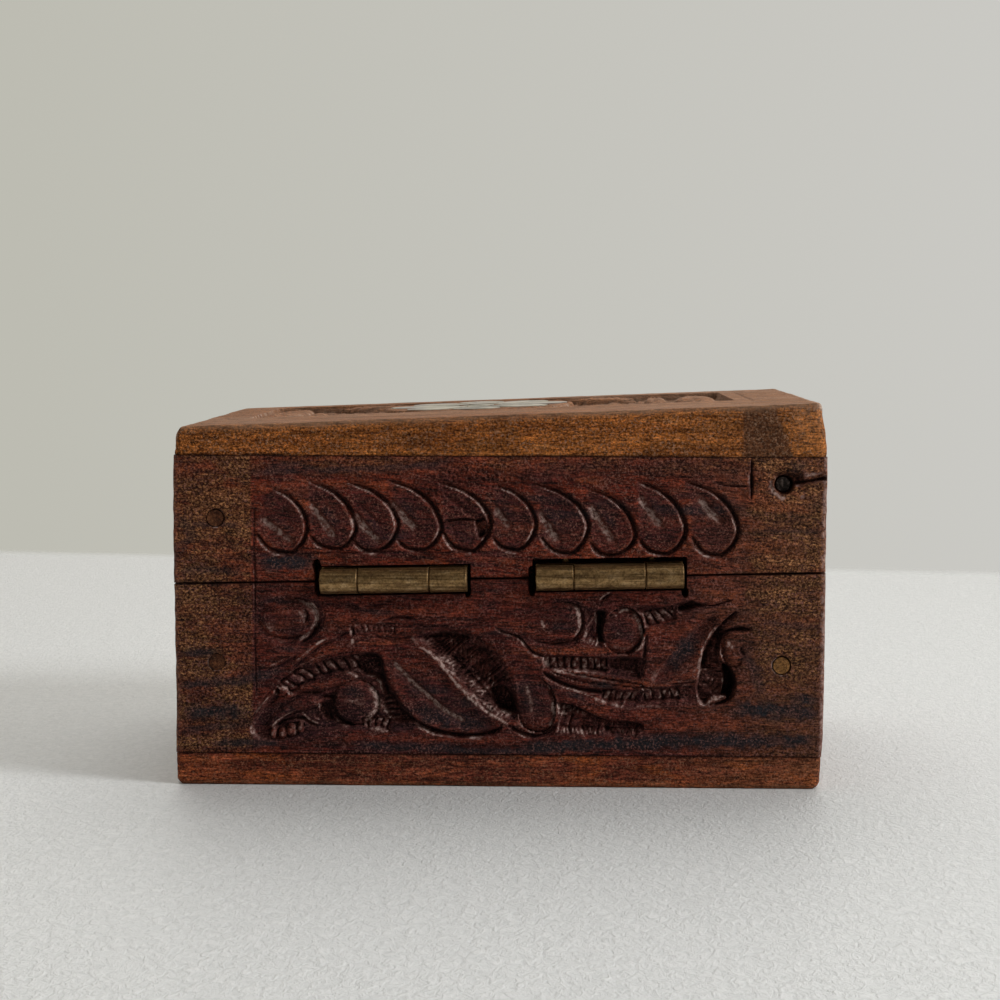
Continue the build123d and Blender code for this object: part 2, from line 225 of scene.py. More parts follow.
class Relief:
    """How deep each point of a face is cut, and how its surface is coloured, painted light and shade
    included.
    """

    def __init__(self, u, v):
        self.u, self.v = u, v
        for layer in ("depth", *finish_and_light_layers):
            setattr(self, layer, np.zeros(u.shape))

    def moved(self, shift=(0, 0), mirror=False, turn=0.0, scale=1.0):
        """The same face, on which a motif lands shifted, mirrored, turned or scaled."""
        other = Relief.__new__(Relief)
        other.__dict__.update(self.__dict__)
        x, y = self.u - shift[0], self.v - shift[1]
        c, s = cos(radians(-turn)), sin(radians(-turn))
        x, y = (c * x - s * y) / scale, (s * x + c * y) / scale
        other.u, other.v = (-x if mirror else x), y
        return other

    def window(self, line, reach):
        """The rows and columns of the grid that come within reach of a line."""
        line = np.array(line)
        low, high = line.min(0) - reach, line.max(0) + reach
        near = (self.u > low[0]) & (self.u < high[0]) & (self.v > low[1]) & (self.v < high[1])
        rows, columns = np.flatnonzero(near.any(1)), np.flatnonzero(near.any(0))
        if not rows.size:
            return slice(0, 0), slice(0, 0)
        return slice(rows[0], rows[-1] + 1), slice(columns[0], columns[-1] + 1)

    def beside(self, path, reach):
        """The grid near a line: where it is, its points, and how they lie along the line."""
        w = self.window(path, reach)
        u, v = self.u[w], self.v[w]
        return w, u, v, *measure(u, v, path)

    def around(self, path, reach):
        """The grid near a closed outline: where it is, its points, their distance, and the inside."""
        w = self.window(path, reach)
        u, v = self.u[w], self.v[w]
        distance = measure(u, v, np.vstack([path, path[:1]]))[0]
        return w, u, v, distance, within(u, v, path)

    def line(self, points, width, depth, outer=0.5, ends=(1.0, 1.0), curved=True, cut=0.0):
        """A V-cut along a line. outer is the share of its width to the left of its direction."""
        path = flowing(points) if curved else np.array(points, float)
        w, u, v, distance, side, along, total = self.beside(path, width)
        first, last = (max(end, 1e-6) for end in ends)
        fade = np.sqrt(np.clip(along / first, 0, 1) * np.clip((total - along) / last, 0, 1))
        wobble = 1 + 0.16 * smooth_noise(u, v, (1.6, 1.6), 5)
        half = width * np.where(side > 0, outer, 1 - outer) * (0.35 + 0.65 * fade) * wobble
        profile = np.clip(1 - distance / np.maximum(half, 1e-6), 0, 1)
        self.depth[w] += depth * fade * wobble * profile
        self.cut[w] = np.maximum(self.cut[w], cut * eased(profile * 2))

    def sink(self, outline, depth, wall=0.5, rough=0.14, seed=1, cut=1.0, marks=60.0):
        """Ground taken down inside an outline, with gouge marks across its floor."""
        w, u, v, distance, inside = self.around(flowing(outline, closed=True), 1.0)
        c, s = cos(radians(marks)), sin(radians(marks))
        along, across = c * u + s * v, c * v - s * u
        tool = np.abs(smooth_noise(along, across, (3.0, 0.55), seed))
        uneven = rough * (1.6 - 3.2 * tool) + rough * smooth_noise(u, v, (1.8, 1.3), seed + 1)
        floor = depth * eased(distance / wall) + uneven * eased(distance / 0.7)
        self.depth[w] = np.where(inside, np.maximum(self.depth[w], floor), self.depth[w])
        self.cut[w] = np.where(inside, np.maximum(self.cut[w], cut * eased(distance / 0.4)), self.cut[w])

    def form(self, outline, foot, shoulder=1.6, top=0.06, moat=0.0, lean=None, even=0.15, closed=True,
             cut=0.3):
        """A rounded form: top at its middle, foot at its edge, with a moat round it if asked.

        lean is the direction, in degrees, towards which the form falls off most; even is
        what is left of the fall on the other side. closed=False takes the outline as drawn,
        without rounding it.
        """
        path = flowing(outline, closed=True) if closed else np.array(outline)
        w, u, v, distance, inside = self.around(path, moat + 0.5)
        middle = path.mean(0)
        fall = 1.0
        if lean is not None:
            angle = np.arctan2(v - middle[1], u - middle[0]) - radians(lean)
            fall = even + (1 - even) * eased(0.62 + 0.62 * np.cos(angle))
        wobble = 1 + 0.12 * smooth_noise(u, v, (1.9, 1.9), 33)
        t = np.clip(distance / (shoulder * wobble), 0, 1)
        low = foot * fall
        surface = top + (low - np.minimum(top, low)) * quarter_round(t)
        surface += 0.06 * smooth_noise(u, v, (2.4, 1.3), 31) * t
        self.depth[w] = np.where(inside, np.maximum(surface, 0), self.depth[w])
        self.cut[w] = np.where(inside, cut, self.cut[w])
        if moat:
            outside = low * np.clip(1 - distance / (moat * wobble), 0, 1) ** 1.4
            self.depth[w] = np.where(inside, self.depth[w], np.maximum(self.depth[w], outside))
            soiled = np.maximum(self.cut[w], 0.8 * eased(outside / 0.3))
            self.cut[w] = np.where(inside, self.cut[w], soiled)

    def ribs(self, points, width, pitch, depth, slant=0.3, seed=3, cut=0.7, worn=0.6):
        """A row of small rounded ridges along a line, with narrow cuts between them."""
        w, u, v, distance, side, along, total = self.beside(flowing(points), width)
        across = side * distance
        phase = (along + slant * across) / pitch + 0.30 * smooth_noise(u, v, (2.1, 2.1), seed)
        ridge = np.floor(phase)
        place = 2 * np.abs(phase - ridge - 0.5)
        chance = np.random.default_rng(seed).uniform(0, 1, (3, 64))[:, ridge.astype(int) % 64]
        half = width / 2 * (0.74 + 0.26 * chance[0])
        ends = np.clip(1 - (distance / half) ** 4, 0, 1)
        crown = np.clip(1 - place ** (2.6 + chance[2]), 0, 1) * ends
        surface = depth * (0.92 - (0.62 + 0.26 * chance[1]) * crown)
        on = eased((half + 0.25 - distance) / 0.5) * ((along > 0.01) & (along < total - 0.01))
        self.depth[w] += np.maximum(surface, 0) * on
        self.cut[w] = np.maximum(self.cut[w], cut * on)
        # pale crowns: painted highlight, with some wear
        ragged = np.clip(0.5 + 0.9 * smooth_noise(u, v, (0.6, 0.5), seed + 40), 0, 1)
        self.rub[w] = np.maximum(self.rub[w], worn * eased((crown - 0.45) / 0.4) * on * ragged)

    def punch(self, outline, pitch, depth, seed=7, fade=0.8):
        """Ground stippled with a pointed punch."""
        w, u, v, distance, inside = self.around(flowing(outline, closed=True), 0.5)
        inside = inside * eased(distance / fade)
        random = np.random.default_rng(seed).uniform(-0.42, 0.42, (2, 97, 101))
        i, j = np.floor(u / pitch).astype(int), np.floor(v / pitch).astype(int)
        nearest = np.full(u.shape, 1e9)
        for m in (-1, 0, 1):
            for n in (-1, 0, 1):
                a, b = (i + m) % 97, (j + n) % 101
                x = (i + m + 0.5 + random[0, a, b]) * pitch - u
                y = (j + n + 0.5 + random[1, a, b]) * pitch - v
                nearest = np.minimum(nearest, np.hypot(x, y))
        self.depth[w] += depth * np.clip(1 - nearest / (0.55 * pitch), 0, 1) * inside
        self.cut[w] = np.maximum(self.cut[w], 0.5 * inside)

    def hole(self, centre, radius, depth, wall=0.12):
        """A round hole."""
        distance = np.hypot(self.u - centre[0], self.v - centre[1])
        self.depth[:] = np.maximum(self.depth, depth * eased((radius - distance) / wall))

    def stroke(self, layer, points, width, strength=1.0, ragged=0.0, soft=1.0):
        """Paints one of the surface layers, painted light and shade among them, along a line; soft is the
        length of its faded ends.
        """
        w, u, v, distance, _, along, total = self.beside(flowing(points), width)
        half = width / 2 * (1 + ragged * smooth_noise(u, v, (0.9, 0.6), 61))
        fade = eased(along / soft) * eased((total - along) / soft)
        tone = strength * fade * eased(1.3 - 1.3 * distance / np.maximum(half, 0.05))
        broken = 1 - ragged * (0.15 + 0.75 * smooth_noise(u, v, (1.0, 0.8), 67))
        values = getattr(self, layer)
        values[w] = np.maximum(values[w], tone * np.clip(broken, 0, 1))

    def paint(self, layer, *strokes):
        """Several strokes of one layer, each as (points, width, strength, ragged, soft)."""
        for one in strokes:
            self.stroke(layer, *one)

    def hollow(self, outline, depth):
        """A shallow dish inside an outline."""
        w, _, _, distance, inside = self.around(flowing(outline, closed=True), 0.5)
        self.depth[w] += depth * inside * eased(distance / 1.6)

    def tint(self, outline, strength, soft=1.2):
        """A stretch made darker, in the cut wood's colour."""
        w, _, _, distance, inside = self.around(flowing(outline, closed=True), 0.5)
        self.cut[w] = np.maximum(self.cut[w], strength * inside * eased(distance / soft))

    def shade(self, points, width, strength=1.0):
        """A dark streak, for the wood's figure and for painted shade on carved forms."""
        self.stroke("streak", points, 2 * width, strength, ragged=0.5, soft=4.0)

    def glow(self, points, width, strength=1.0):
        """A bright red-brown streak in the wood's figure."""
        self.stroke("warm", points, 2 * width, strength, ragged=0.5, soft=3.0)

    def settle(self):
        """Paints shade into hollows and onto slopes turned from the light, and highlights onto those facing
        it, with soil and wear.
        """
        near, wide = blurred(self.depth, 2), blurred(self.depth, 7)
        drawn = np.clip(self.grime, 0, 1)
        patchy = 0.75 + 0.5 * smooth_noise(self.u, self.v, (1.1, 1.1), 55)
        # painted shade, with soil: darker in narrow and in broad recesses
        self.grime += np.clip((self.depth - near - 0.08) * 3.6, 0, 0.85) * patchy
        self.grime += 0.25 * np.clip((self.depth - wide - 0.25) * 1.2, 0, 1)
        steps = [np.gradient(place, axis=axis) for place, axis in ((self.u, 1), (self.v, 0))]
        steps = [np.where(np.abs(step) < 1e-6, 1e-6, step) for step in steps]

        def descent(depth):
            """How steeply the surface falls away towards the light, from the upper right."""
            return 0.9 * np.gradient(depth, axis=1) / steps[0] + 0.45 * np.gradient(depth, axis=0) / steps[1]

        falling, facing = descent(self.depth), descent(wide)
        ragged = 0.55 + 0.9 * np.abs(smooth_noise(self.u, self.v, (0.7, 0.5), 57))
        # painted highlights where edges and slopes face the light
        lit = eased((falling - 0.2) / 0.9) * np.clip(1.5 - self.depth / 1.5, 0, 1)
        edge = np.clip((near - self.depth - 0.02) * 6, 0, 1) * eased(falling * 1.4)
        broken = np.clip(0.7 + 0.9 * smooth_noise(self.u, self.v, (2.1, 1.7), 59), 0.1, 1.2)
        open_side = eased((facing - 0.06) / 0.5) * np.clip(1.4 - self.depth / 1.8, 0, 1)
        self.rub += (0.70 * lit + 0.40 * edge + 0.45 * open_side) * broken * ragged
        # painted shade on slopes turned away from the light
        away = 0.65 * eased((-falling - 0.25) / 1.2) + 0.38 * eased((-facing - 0.08) / 0.5)
        self.grime += away * patchy
        # painted shade is lifted where the light falls, but strokes drawn dark stay dark and dim the
        # highlights
        self.grime = np.maximum(self.grime * (1 - 0.75 * np.clip(lit, 0, 1)), 0.85 * drawn)
        self.rub *= 1 - 0.55 * drawn

    def arris(self, distance, radius, seed, uneven=0.3, dirt=0.0, rub=0.0):
        """An edge rounded by wear to a quarter round, with soil or pale rubbing along it."""
        r = radius * (1 + uneven * smooth_noise(self.u, self.v, (6, 6), seed))
        r = r * (1 + 0.5 * uneven * smooth_noise(self.u, self.v, (1.4, 1.4), seed + 1))
        t = np.clip(distance / r, 0, 1)
        self.depth = np.maximum(self.depth, r * quarter_round(t))
        self.grime = np.maximum(self.grime, dirt * eased(1.2 - distance / 0.22))
        self.rub = np.maximum(self.rub, rub * eased(1.5 - distance / np.maximum(r, 0.1)))


# ---- Motifs ----------------------------------------------------------------------------


def hook_leaf(relief, tip, right, bottom, left, vein=None, depth=0.85):
    """A slanted drop-shaped leaf, cut by one hooked outline and a fluted vein."""
    tip, right, bottom, left = (np.array(p, float) for p in (tip, right, bottom, left))
    down, back = right - tip, bottom - right
    path = [
        tip,
        tip + down * (0.50, 0.22),
        tip + down * (0.84, 0.56),
        right,
        right + back * (0.22, 0.55),
        right + back * (0.62, 0.88),
        bottom,
        bottom + (left - bottom) * (0.58, 0.24),
        left,
    ]
    inner = left + (tip - left) * (0.25, 0.55)
    body = np.array([tip, tip + down * (0.55, 0.25), right, bottom, left, inner])
    relief.tint(body, 1.0, soft=0.7)
    relief.hollow(body, 0.2)
    relief.line(path, 1.1, depth, outer=0.66, ends=(2.5, 1.6), cut=0.5)
    # painted shade along the outline's cut, on the side away from the light
    relief.stroke("grime", np.array(path[1:8]) + (0.32, 0.05), 1.05, 1.0, ragged=0.2, soft=2.0)
    relief.stroke("grime", path[4:], 0.6, 1.0, ragged=0.2, soft=1.0)
    # painted highlights along the rim inside the outline
    relief.stroke("rub", np.array(path[:7]) - (0.42, 0.18), 0.3, 0.5, ragged=0.9, soft=3.0)
    relief.stroke("rub", np.array(path[6:]) - (0.24, 0.44), 0.3, 0.45, ragged=0.9, soft=1.0)
    if vein is not None:
        relief.line(vein, 2.8, 0.62, outer=0.14, ends=(1.8, 1.8), cut=0.2)
        # a painted highlight down the vein's lit side, and painted shade beside it
        relief.stroke("rub", np.array(vein) - (0.35, 0.3), 1.9, 0.8, ragged=0.4, soft=1.2)
        relief.shade(np.array(vein) + (1.0, 0.7), 0.8, 0.6)


def bud(relief, centre, radii, foot=1.3, turn=0.0, **settings):
    """A domed berry."""
    settings.setdefault("shoulder", min(radii) * 0.95)
    relief.form(oval(centre, radii, turn), foot, closed=False, **settings)


def figure(r, dark, bright):
    """Dark and bright streaks in a board's wood, and painted shade given among the dark ones, each as
    (points, width, strength).
    """
    for line, width, strength in dark:
        r.shade(line, width, strength)
    for line, width, strength in bright:
        r.glow(line, width, strength)


def long_streaks(paint, streaks, bend, rise, width, strength):
    """Long streaks of figure, each as (height, start, end), bent at the middle and the end."""
    for height, start, end in streaks:
        middle = ((start + end) / 2, height + bend)
        paint([(start, height), middle, (end, height + rise)], width, strength)


def layout_line(r, *points):
    """A line scribed with a knife before the carving began."""
    r.line(points, 0.45, 0.3, curved=False, cut=1)


def carve_rear_lid(r):
    """A row of ten slanted leaves between layout lines."""
    face, r = r, r.moved((0, 0.3), scale=0.994)
    leaves = [
        ((-39, 51.6), (-33.2, 45), (-36.5, 40.5), (-41.9, 44.0), [(-41, 47), (-38, 44.6), (-35, 42.5)]),
        ((-32.8, 52.9), (-24.8, 45.2), (-28, 41.2), (-32.7, 43.8), [(-32.4, 49.8), (-30, 46.2), (-27.7, 43)]),
        ((-26.2, 52.8), (-17.5, 45.5), (-21.5, 40.8), (-25, 42.8), [(-24.7, 48), (-22.5, 44.8), (-20, 42.3)]),
        ((-19.2, 53.2), (-10, 45.3), (-13.5, 41.1), (-17.5, 43), [(-18.6, 50), (-16, 47), (-13.3, 44.6)]),
        ((-10.7, 52.9), (-1.5, 46), (-5, 41), (-9.7, 44.5), None),
        ((-0.5, 52.3), (6.3, 45.8), (3, 41.2), (-1, 43.5), [(-0.5, 49), (1.2, 46.6), (2.6, 45)]),
        ((5.6, 52.7), (15.3, 45.5), (12, 40.6), (7.3, 43.6), [(7, 48.5), (8.7, 45.6), (11, 42.7)]),
        ((15, 52), (23.4, 44), (19.5, 40.3), (15.8, 42.7), [(15.8, 49.6), (17.8, 46.2), (20.5, 42.5)]),
        ((23.6, 53.1), (32, 45), (28.5, 40.6), (24, 43.5), [(24.2, 51), (26.4, 48), (28.8, 45)]),
        ((31.8, 53.2), (41, 45), (37.5, 40.4), (33.2, 43.8), [(34.5, 51), (36.6, 48.2), (39, 46)]),
    ]
    r.punch([(-16, 50), (-11, 54.6), (-3, 55.6), (2, 54.2), (1, 50.5), (-6, 51.5), (-11, 49)], 0.75, 0.32,
            seed=12)
    r.punch([(4, 53.6), (10, 57), (25, 57.2), (42, 56.8), (43, 53.5), (24, 53.4)], 0.5, 0.14, seed=13)
    for tip, right, bottom, left, vein in leaves:
        hook_leaf(r, tip, right, bottom, left, vein)
    r.line([(-24.3, 49.4), (-22.2, 47.4), (-20, 45.2)], 1.4, 0.28, outer=0.3, cut=0.3)
    # the fifth leaf is broken by a chip that follows a knot
    r.sink([(-4.2, 46.2), (-2.6, 47), (-1.6, 45.6), (-2, 43.6), (-3.4, 42.9), (-4, 44.4)], 1.1, rough=0.3,
           seed=21)
    r.line([(-10, 45.7), (-6.5, 46.4), (-3, 46.1)], 0.55, 0.7, ends=(1.5, 0.5), cut=1)
    r.line([(-8.8, 44.6), (-6.5, 45.6), (-3.9, 45.2)], 1.5, 0.3, cut=0.5)
    r.line([(-9, 50.5), (-6, 48.3), (-4, 46.8)], 1.3, 0.35, cut=0.5)
    r.punch([(-9.5, 44), (-8.5, 51), (-4, 51.4), (-1, 47), (-2, 42.5), (-6, 41.8)], 0.7, 0.2, seed=14)
    # layout lines, scribed with a knife
    r.line([(-42.1, 48), (-42.2, 41), (-42, 34.5)], 0.5, 0.34, cut=1, ends=(0.6, 0.1))
    layout_line(r, (-42, 40.3), (-20, 40.6), (5, 40.8))
    r.line([(-42, 35), (-33, 35.6)], 0.4, 0.2, curved=False, cut=1)
    r.line([(43.3, 57.2), (43.4, 53), (43.3, 49.9)], 0.55, 0.5, cut=1)
    r.line([(43.1, 54.6), (43.3, 53.4), (43.2, 51.8)], 1.1, 0.7, cut=1)
    r.line([(37, 52.9), (39.5, 52.4), (43, 52.3)], 0.5, 0.5, cut=1)
    r.line([(24, 53.2), (30, 53.6), (37, 54)], 0.35, 0.18, cut=0.6)
    for k in range(5):
        r.line([(-46.4 + 0.5 * k, 37.2), (-44.6 + 0.35 * k, 41.6), (-42.9, 43.6)], 0.22, 0.09, cut=0.2)
    # a plug's seat, and the open counterbore with the split that the nail made
    face.hole((-nail_column, lid_nail_heights[0]), 1.52, plug_depth)
    face.hole((nail_column, lid_nail_heights[1]), 1.75, 2.35, wall=0.3)
    r.line([(47, 53.8), (46.6, 52.6), (47.2, 51.2)], 1.2, 0.5, cut=0.6)
    r.line([(49.6, 52.9), (52.5, 53.1), (56.2, 53.8)], 1.2, 1.6, ends=(0.1, 0.1), cut=1)
    r.sink([(47.3, 53.4), (47.7, 54.5), (49.4, 54.8), (51.4, 54.2), (52.4, 53.4), (50, 52.6)], 0.9,
           wall=0.5, rough=0.2, seed=22)
    r.line([(46, 46.5), (48.4, 46.2), (51, 46.4)], 0.4, 0.3, cut=0.8)
    r.sink([(50, 53), (53, 53), (55.9, 53.6), (55.9, 55.2), (52, 54.6)], 0.35, wall=0.8, rough=0.1, cut=0.6)
    dark = [
        ([(4, 47.6), (12, 47.2), (20, 47.6)], 1.3, 0.8),
        ([(15, 49.4), (20, 49), (24, 48.6)], 1.0, 0.7),
        ([(24, 48.4), (31, 48.2), (37, 48.2), (42, 49)], 1.1, 0.8),
        ([(-22, 43.4), (-18, 43.2), (-14, 43.6)], 1.0, 0.7),
        ([(-43, 38.9), (-36, 38.7), (-30, 38.8)], 1.9, 1.0),
        ([(-41, 55.2), (-36, 55.6), (-32, 56.2)], 0.8, 0.6),
        ([(-44, 54.4), (-32, 54.8), (-20, 55.2), (-8, 56)], 0.9, 0.6),
        ([(-57, 47.6), (-53, 44), (-57, 40)], 1.5, 0.5),
        ([(2, 50.4), (10, 50), (16, 50.2)], 0.9, 0.5),
        ([(-8, 43.4), (-5, 42.8), (-3, 43.2)], 1.1, 0.9),
        ([(-56, 45.6), (-50, 45.2), (-43, 45.4)], 0.6, 0.5),
        ([(-57, 37), (-50, 37.4), (-43, 37.2)], 0.9, 0.5),
        ([(44, 45), (50, 44.6), (57, 44.8)], 0.6, 0.5),
        ([(52, 48), (54, 49), (57, 50)], 1.3, 0.6),
        ([(49, 54.6), (51, 55.6), (54, 55.9)], 1.3, 0.9),
        ([(-52.6, 42.8), (-51, 43.1), (-49.4, 43.3)], 0.7, 0.9),
        ([(36, 50.3), (39, 49.6), (44, 48.6)], 1.4, 0.7),
    ]
    bright = [
        ([(-56, 50.4), (-46, 51.2), (-34, 52.2), (-22, 52.4), (-14, 51.6)], 1.2, 0.9),
        ([(24, 46.6), (31, 46.2), (40, 46.6)], 1.2, 0.8),
        ([(8, 44), (14, 43.6), (22, 43.4)], 1.2, 0.5),
        ([(-1, 44), (4, 43.8), (7, 43.6)], 1.2, 0.5),
        ([(-56, 40.4), (-50, 40.2), (-43, 40.4)], 0.8, 0.6),
        ([(40, 42), (48, 42.4), (56, 42.2)], 1.2, 0.5),
        ([(-6, 39.4), (2, 39.2), (8, 38.4)], 0.8, 0.5),
    ]
    figure(r, dark, bright)
    # soil round the open nail hole, and painted shade down the scribed line at the right
    r.paint(
        "grime",
        ([(47.4, 53.9), (48.4, 54.9), (50.4, 54.9), (52.6, 54.1)], 1.9, 0.9, 0.4, 0.8),
        ([(43.15, 57), (43.2, 53.4), (43.1, 50)], 0.9, 0.8, 0.3),
    )
    r.paint(
        "rub",
        ([(46.7, 53.6), (46.8, 52.2), (47.4, 51.1), (48.4, 50.4), (49.4, 50.2)], 1.0, 0.9, 0.6, 0.5),
        ([(50.6, 51), (51.8, 50.6), (52.6, 51.4)], 1.0, 0.6, 0.9, 0.4),
        ([(52, 54.2), (53.8, 54.4), (56, 55)], 1.3, 0.8, 0.5, 0.5),
    )


def carve_rear_base(r):
    """A scrolling vine with berries, beaded stems and three large leaves."""
    face, r = r, r.moved((0, 0.3), scale=0.994)
    rear_base_grounds(r)
    rear_base_left(r)
    rear_base_middle(r)
    rear_base_right(r)
    rear_base_figure(r)
    # layout lines and plugs
    r.line([(-42.1, 35.4), (-42.2, 26), (-42, 15.2)], 0.45, 0.32, cut=1, ends=(0.1, 2))
    r.line([(-42, 33.8), (-36, 33.9), (-31.2, 34)], 0.4, 0.22, cut=1)
    r.line([(-44.6, 25.2), (-43.4, 25.3), (-42.1, 25.3)], 0.3, 0.2, cut=1)
    face.hole((-nail_column, base_nail_height), 1.44, plug_depth)
    face.hole((nail_column, base_nail_height), 1.6, plug_depth)


def rear_base_grounds(r):
    """The grounds let down between the forms."""
    leaf_left = [(-20.6, 23.1), (-19.4, 19.6), (-18.1, 16.6), (-16.3, 13.8), (-14, 11.3), (-12, 9.9)]
    grounds = [
        # outline, depth, wall, roughness, seed, direction of the gouge marks
        ([(-42.6, 11.4), (-40.6, 14.6), (-38, 17.2), (-35, 19.8), (-32, 21.4), (-29, 22.4), (-25, 23.1),
          *leaf_left, (-18, 9.2), (-24, 9.4), (-30, 9), (-34, 7.6), (-39, 7.2), (-42.4, 7.6), (-43.4, 9.6)],
         0.75, 1.2, 0.14, 1, 25),
        ([(-25, 22.9), (-20.6, 23.2), (-19.4, 19.6), (-18.1, 16.6), (-17.2, 14.8), (-19.4, 14.2),
          (-20.3, 15.4), (-21.4, 18), (-23.6, 18.7), (-25.2, 20.4)], 1.9, 1.2, 0.15, 41, 0),
        ([(-18.1, 16.6), (-16.3, 13.8), (-13.8, 11.2), (-15.8, 10.4), (-18.4, 10.8), (-20, 12.4),
          (-20.3, 15.4)], 1.6, 1.0, 0.1, 42, 0),
        ([(-31.6, 14.4), (-30, 15.1), (-28.6, 15.1), (-28.4, 13), (-27.6, 11.2), (-26, 10.3), (-28, 10.2),
          (-30.2, 10.6), (-31.8, 12.4)], 1.7, 1.3, 0.06, 43, 60),
        ([(-14.6, 25.8), (-12.4, 27), (-8, 27.3), (-4, 26.2), (-1, 24), (1.1, 21), (2.6, 18), (3.6, 15.2),
          (3.9, 12.8), (3.2, 11.3), (1.6, 11.4), (-0.4, 12.2), (-3.2, 14.6), (-6.6, 18), (-10, 21.8),
          (-12.6, 24.3)], 1.5, 2.4, 0.3, 51, 42),
        ([(-2, 17), (1, 18), (2.7, 16.8), (3.7, 14), (3.5, 12.2), (1.8, 12), (-0.6, 13.2)], 2.9, 1.3, 0.1,
         52, 60),
        ([(-12.6, 26.4), (-9, 27.1), (-5, 26.4), (-4.6, 25.2), (-8, 24.8), (-12, 25.2)], 2.0, 0.9, 0.14, 53,
         60),
        ([(8, 22.7), (13, 22.9), (19, 22.8), (24.8, 22.8), (25.2, 21), (24.6, 18.6), (20, 19), (14, 19.9),
          (8.4, 20.2)], 0.9, 0.9, 0.14, 61, 60),
        ([(19, 22.7), (24.6, 22.7), (25, 21), (24.4, 19.2), (19.4, 19.9)], 1.4, 1.1, 0.14, 62, 60),
        ([(14.4, 31.4), (16.6, 31.2), (18.6, 30.9), (18, 28), (18.2, 25), (19, 23.8), (16.4, 24.4),
          (14.2, 25.4), (14.6, 28.4)], 1.0, 1.6, 0.14, 71, 60),
        ([(16.6, 30.8), (18.9, 30.6), (18.4, 28), (18.6, 25.2), (17, 24.9), (16.5, 28)], 2.1, 0.9, 0.14, 73,
         60),
        ([(22.6, 31.4), (25.4, 32), (29, 31.6), (31.6, 32.6), (34.4, 32.6), (37, 31.8), (38.4, 31.4),
          (34.4, 31), (31, 30), (28, 28.5), (25.6, 27.2), (25.2, 25), (24.8, 29)], 0.9, 1.2, 0.14, 81,
         60),
        ([(30.6, 31.4), (33, 32.7), (34.6, 32.3), (36.8, 31.8), (34.4, 31.1), (31.4, 30.2)], 1.9, 0.8, 0.14,
         91, 60),
        ([(25.1, 26), (26, 26.6), (25.8, 23), (25.3, 19.4), (24.4, 19), (24.6, 22)], 1.0, 1.0, 0.14, 93,
         60),
        ([(34.6, 20.4), (35, 22), (35.5, 24), (36.7, 26.4), (38, 28), (39.4, 27.4), (38.6, 26.4),
          (38.3, 24), (38.6, 21.6), (40.2, 20), (41, 17.6), (40.2, 15.2), (38.6, 14.2), (35, 14.4),
          (34, 17)], 1.3, 0.7, 0.25, 101, 0),
        ([(38.5, 21.6), (40.2, 20.8), (41.2, 18), (40.6, 15.8), (39.6, 14.8), (38.4, 16), (38.7, 18.4)],
         3.0, 0.6, 0.05, 102, 60),
        ([(17, 16.6), (20, 17), (25, 17.2), (30, 17.9), (34.4, 17.8), (35.2, 15.4), (34, 14.2), (28, 13.8),
          (22.6, 13.2), (18.6, 14.2)], 0.8, 1.5, 0.14, 103, 60),
        ([(10.2, 14.6), (13, 14.2), (16, 12.6), (19.4, 11.5), (24.4, 11.1), (25.2, 9.6), (23, 8.6),
          (18, 8.6), (12, 8.8), (10, 9.6), (10.3, 12)], 0.8, 1.6, 0.25, 111, 70),
    ]
    for outline, depth, wall, rough, seed, marks in grounds:
        r.sink(outline, depth, wall, rough, seed, marks=marks)


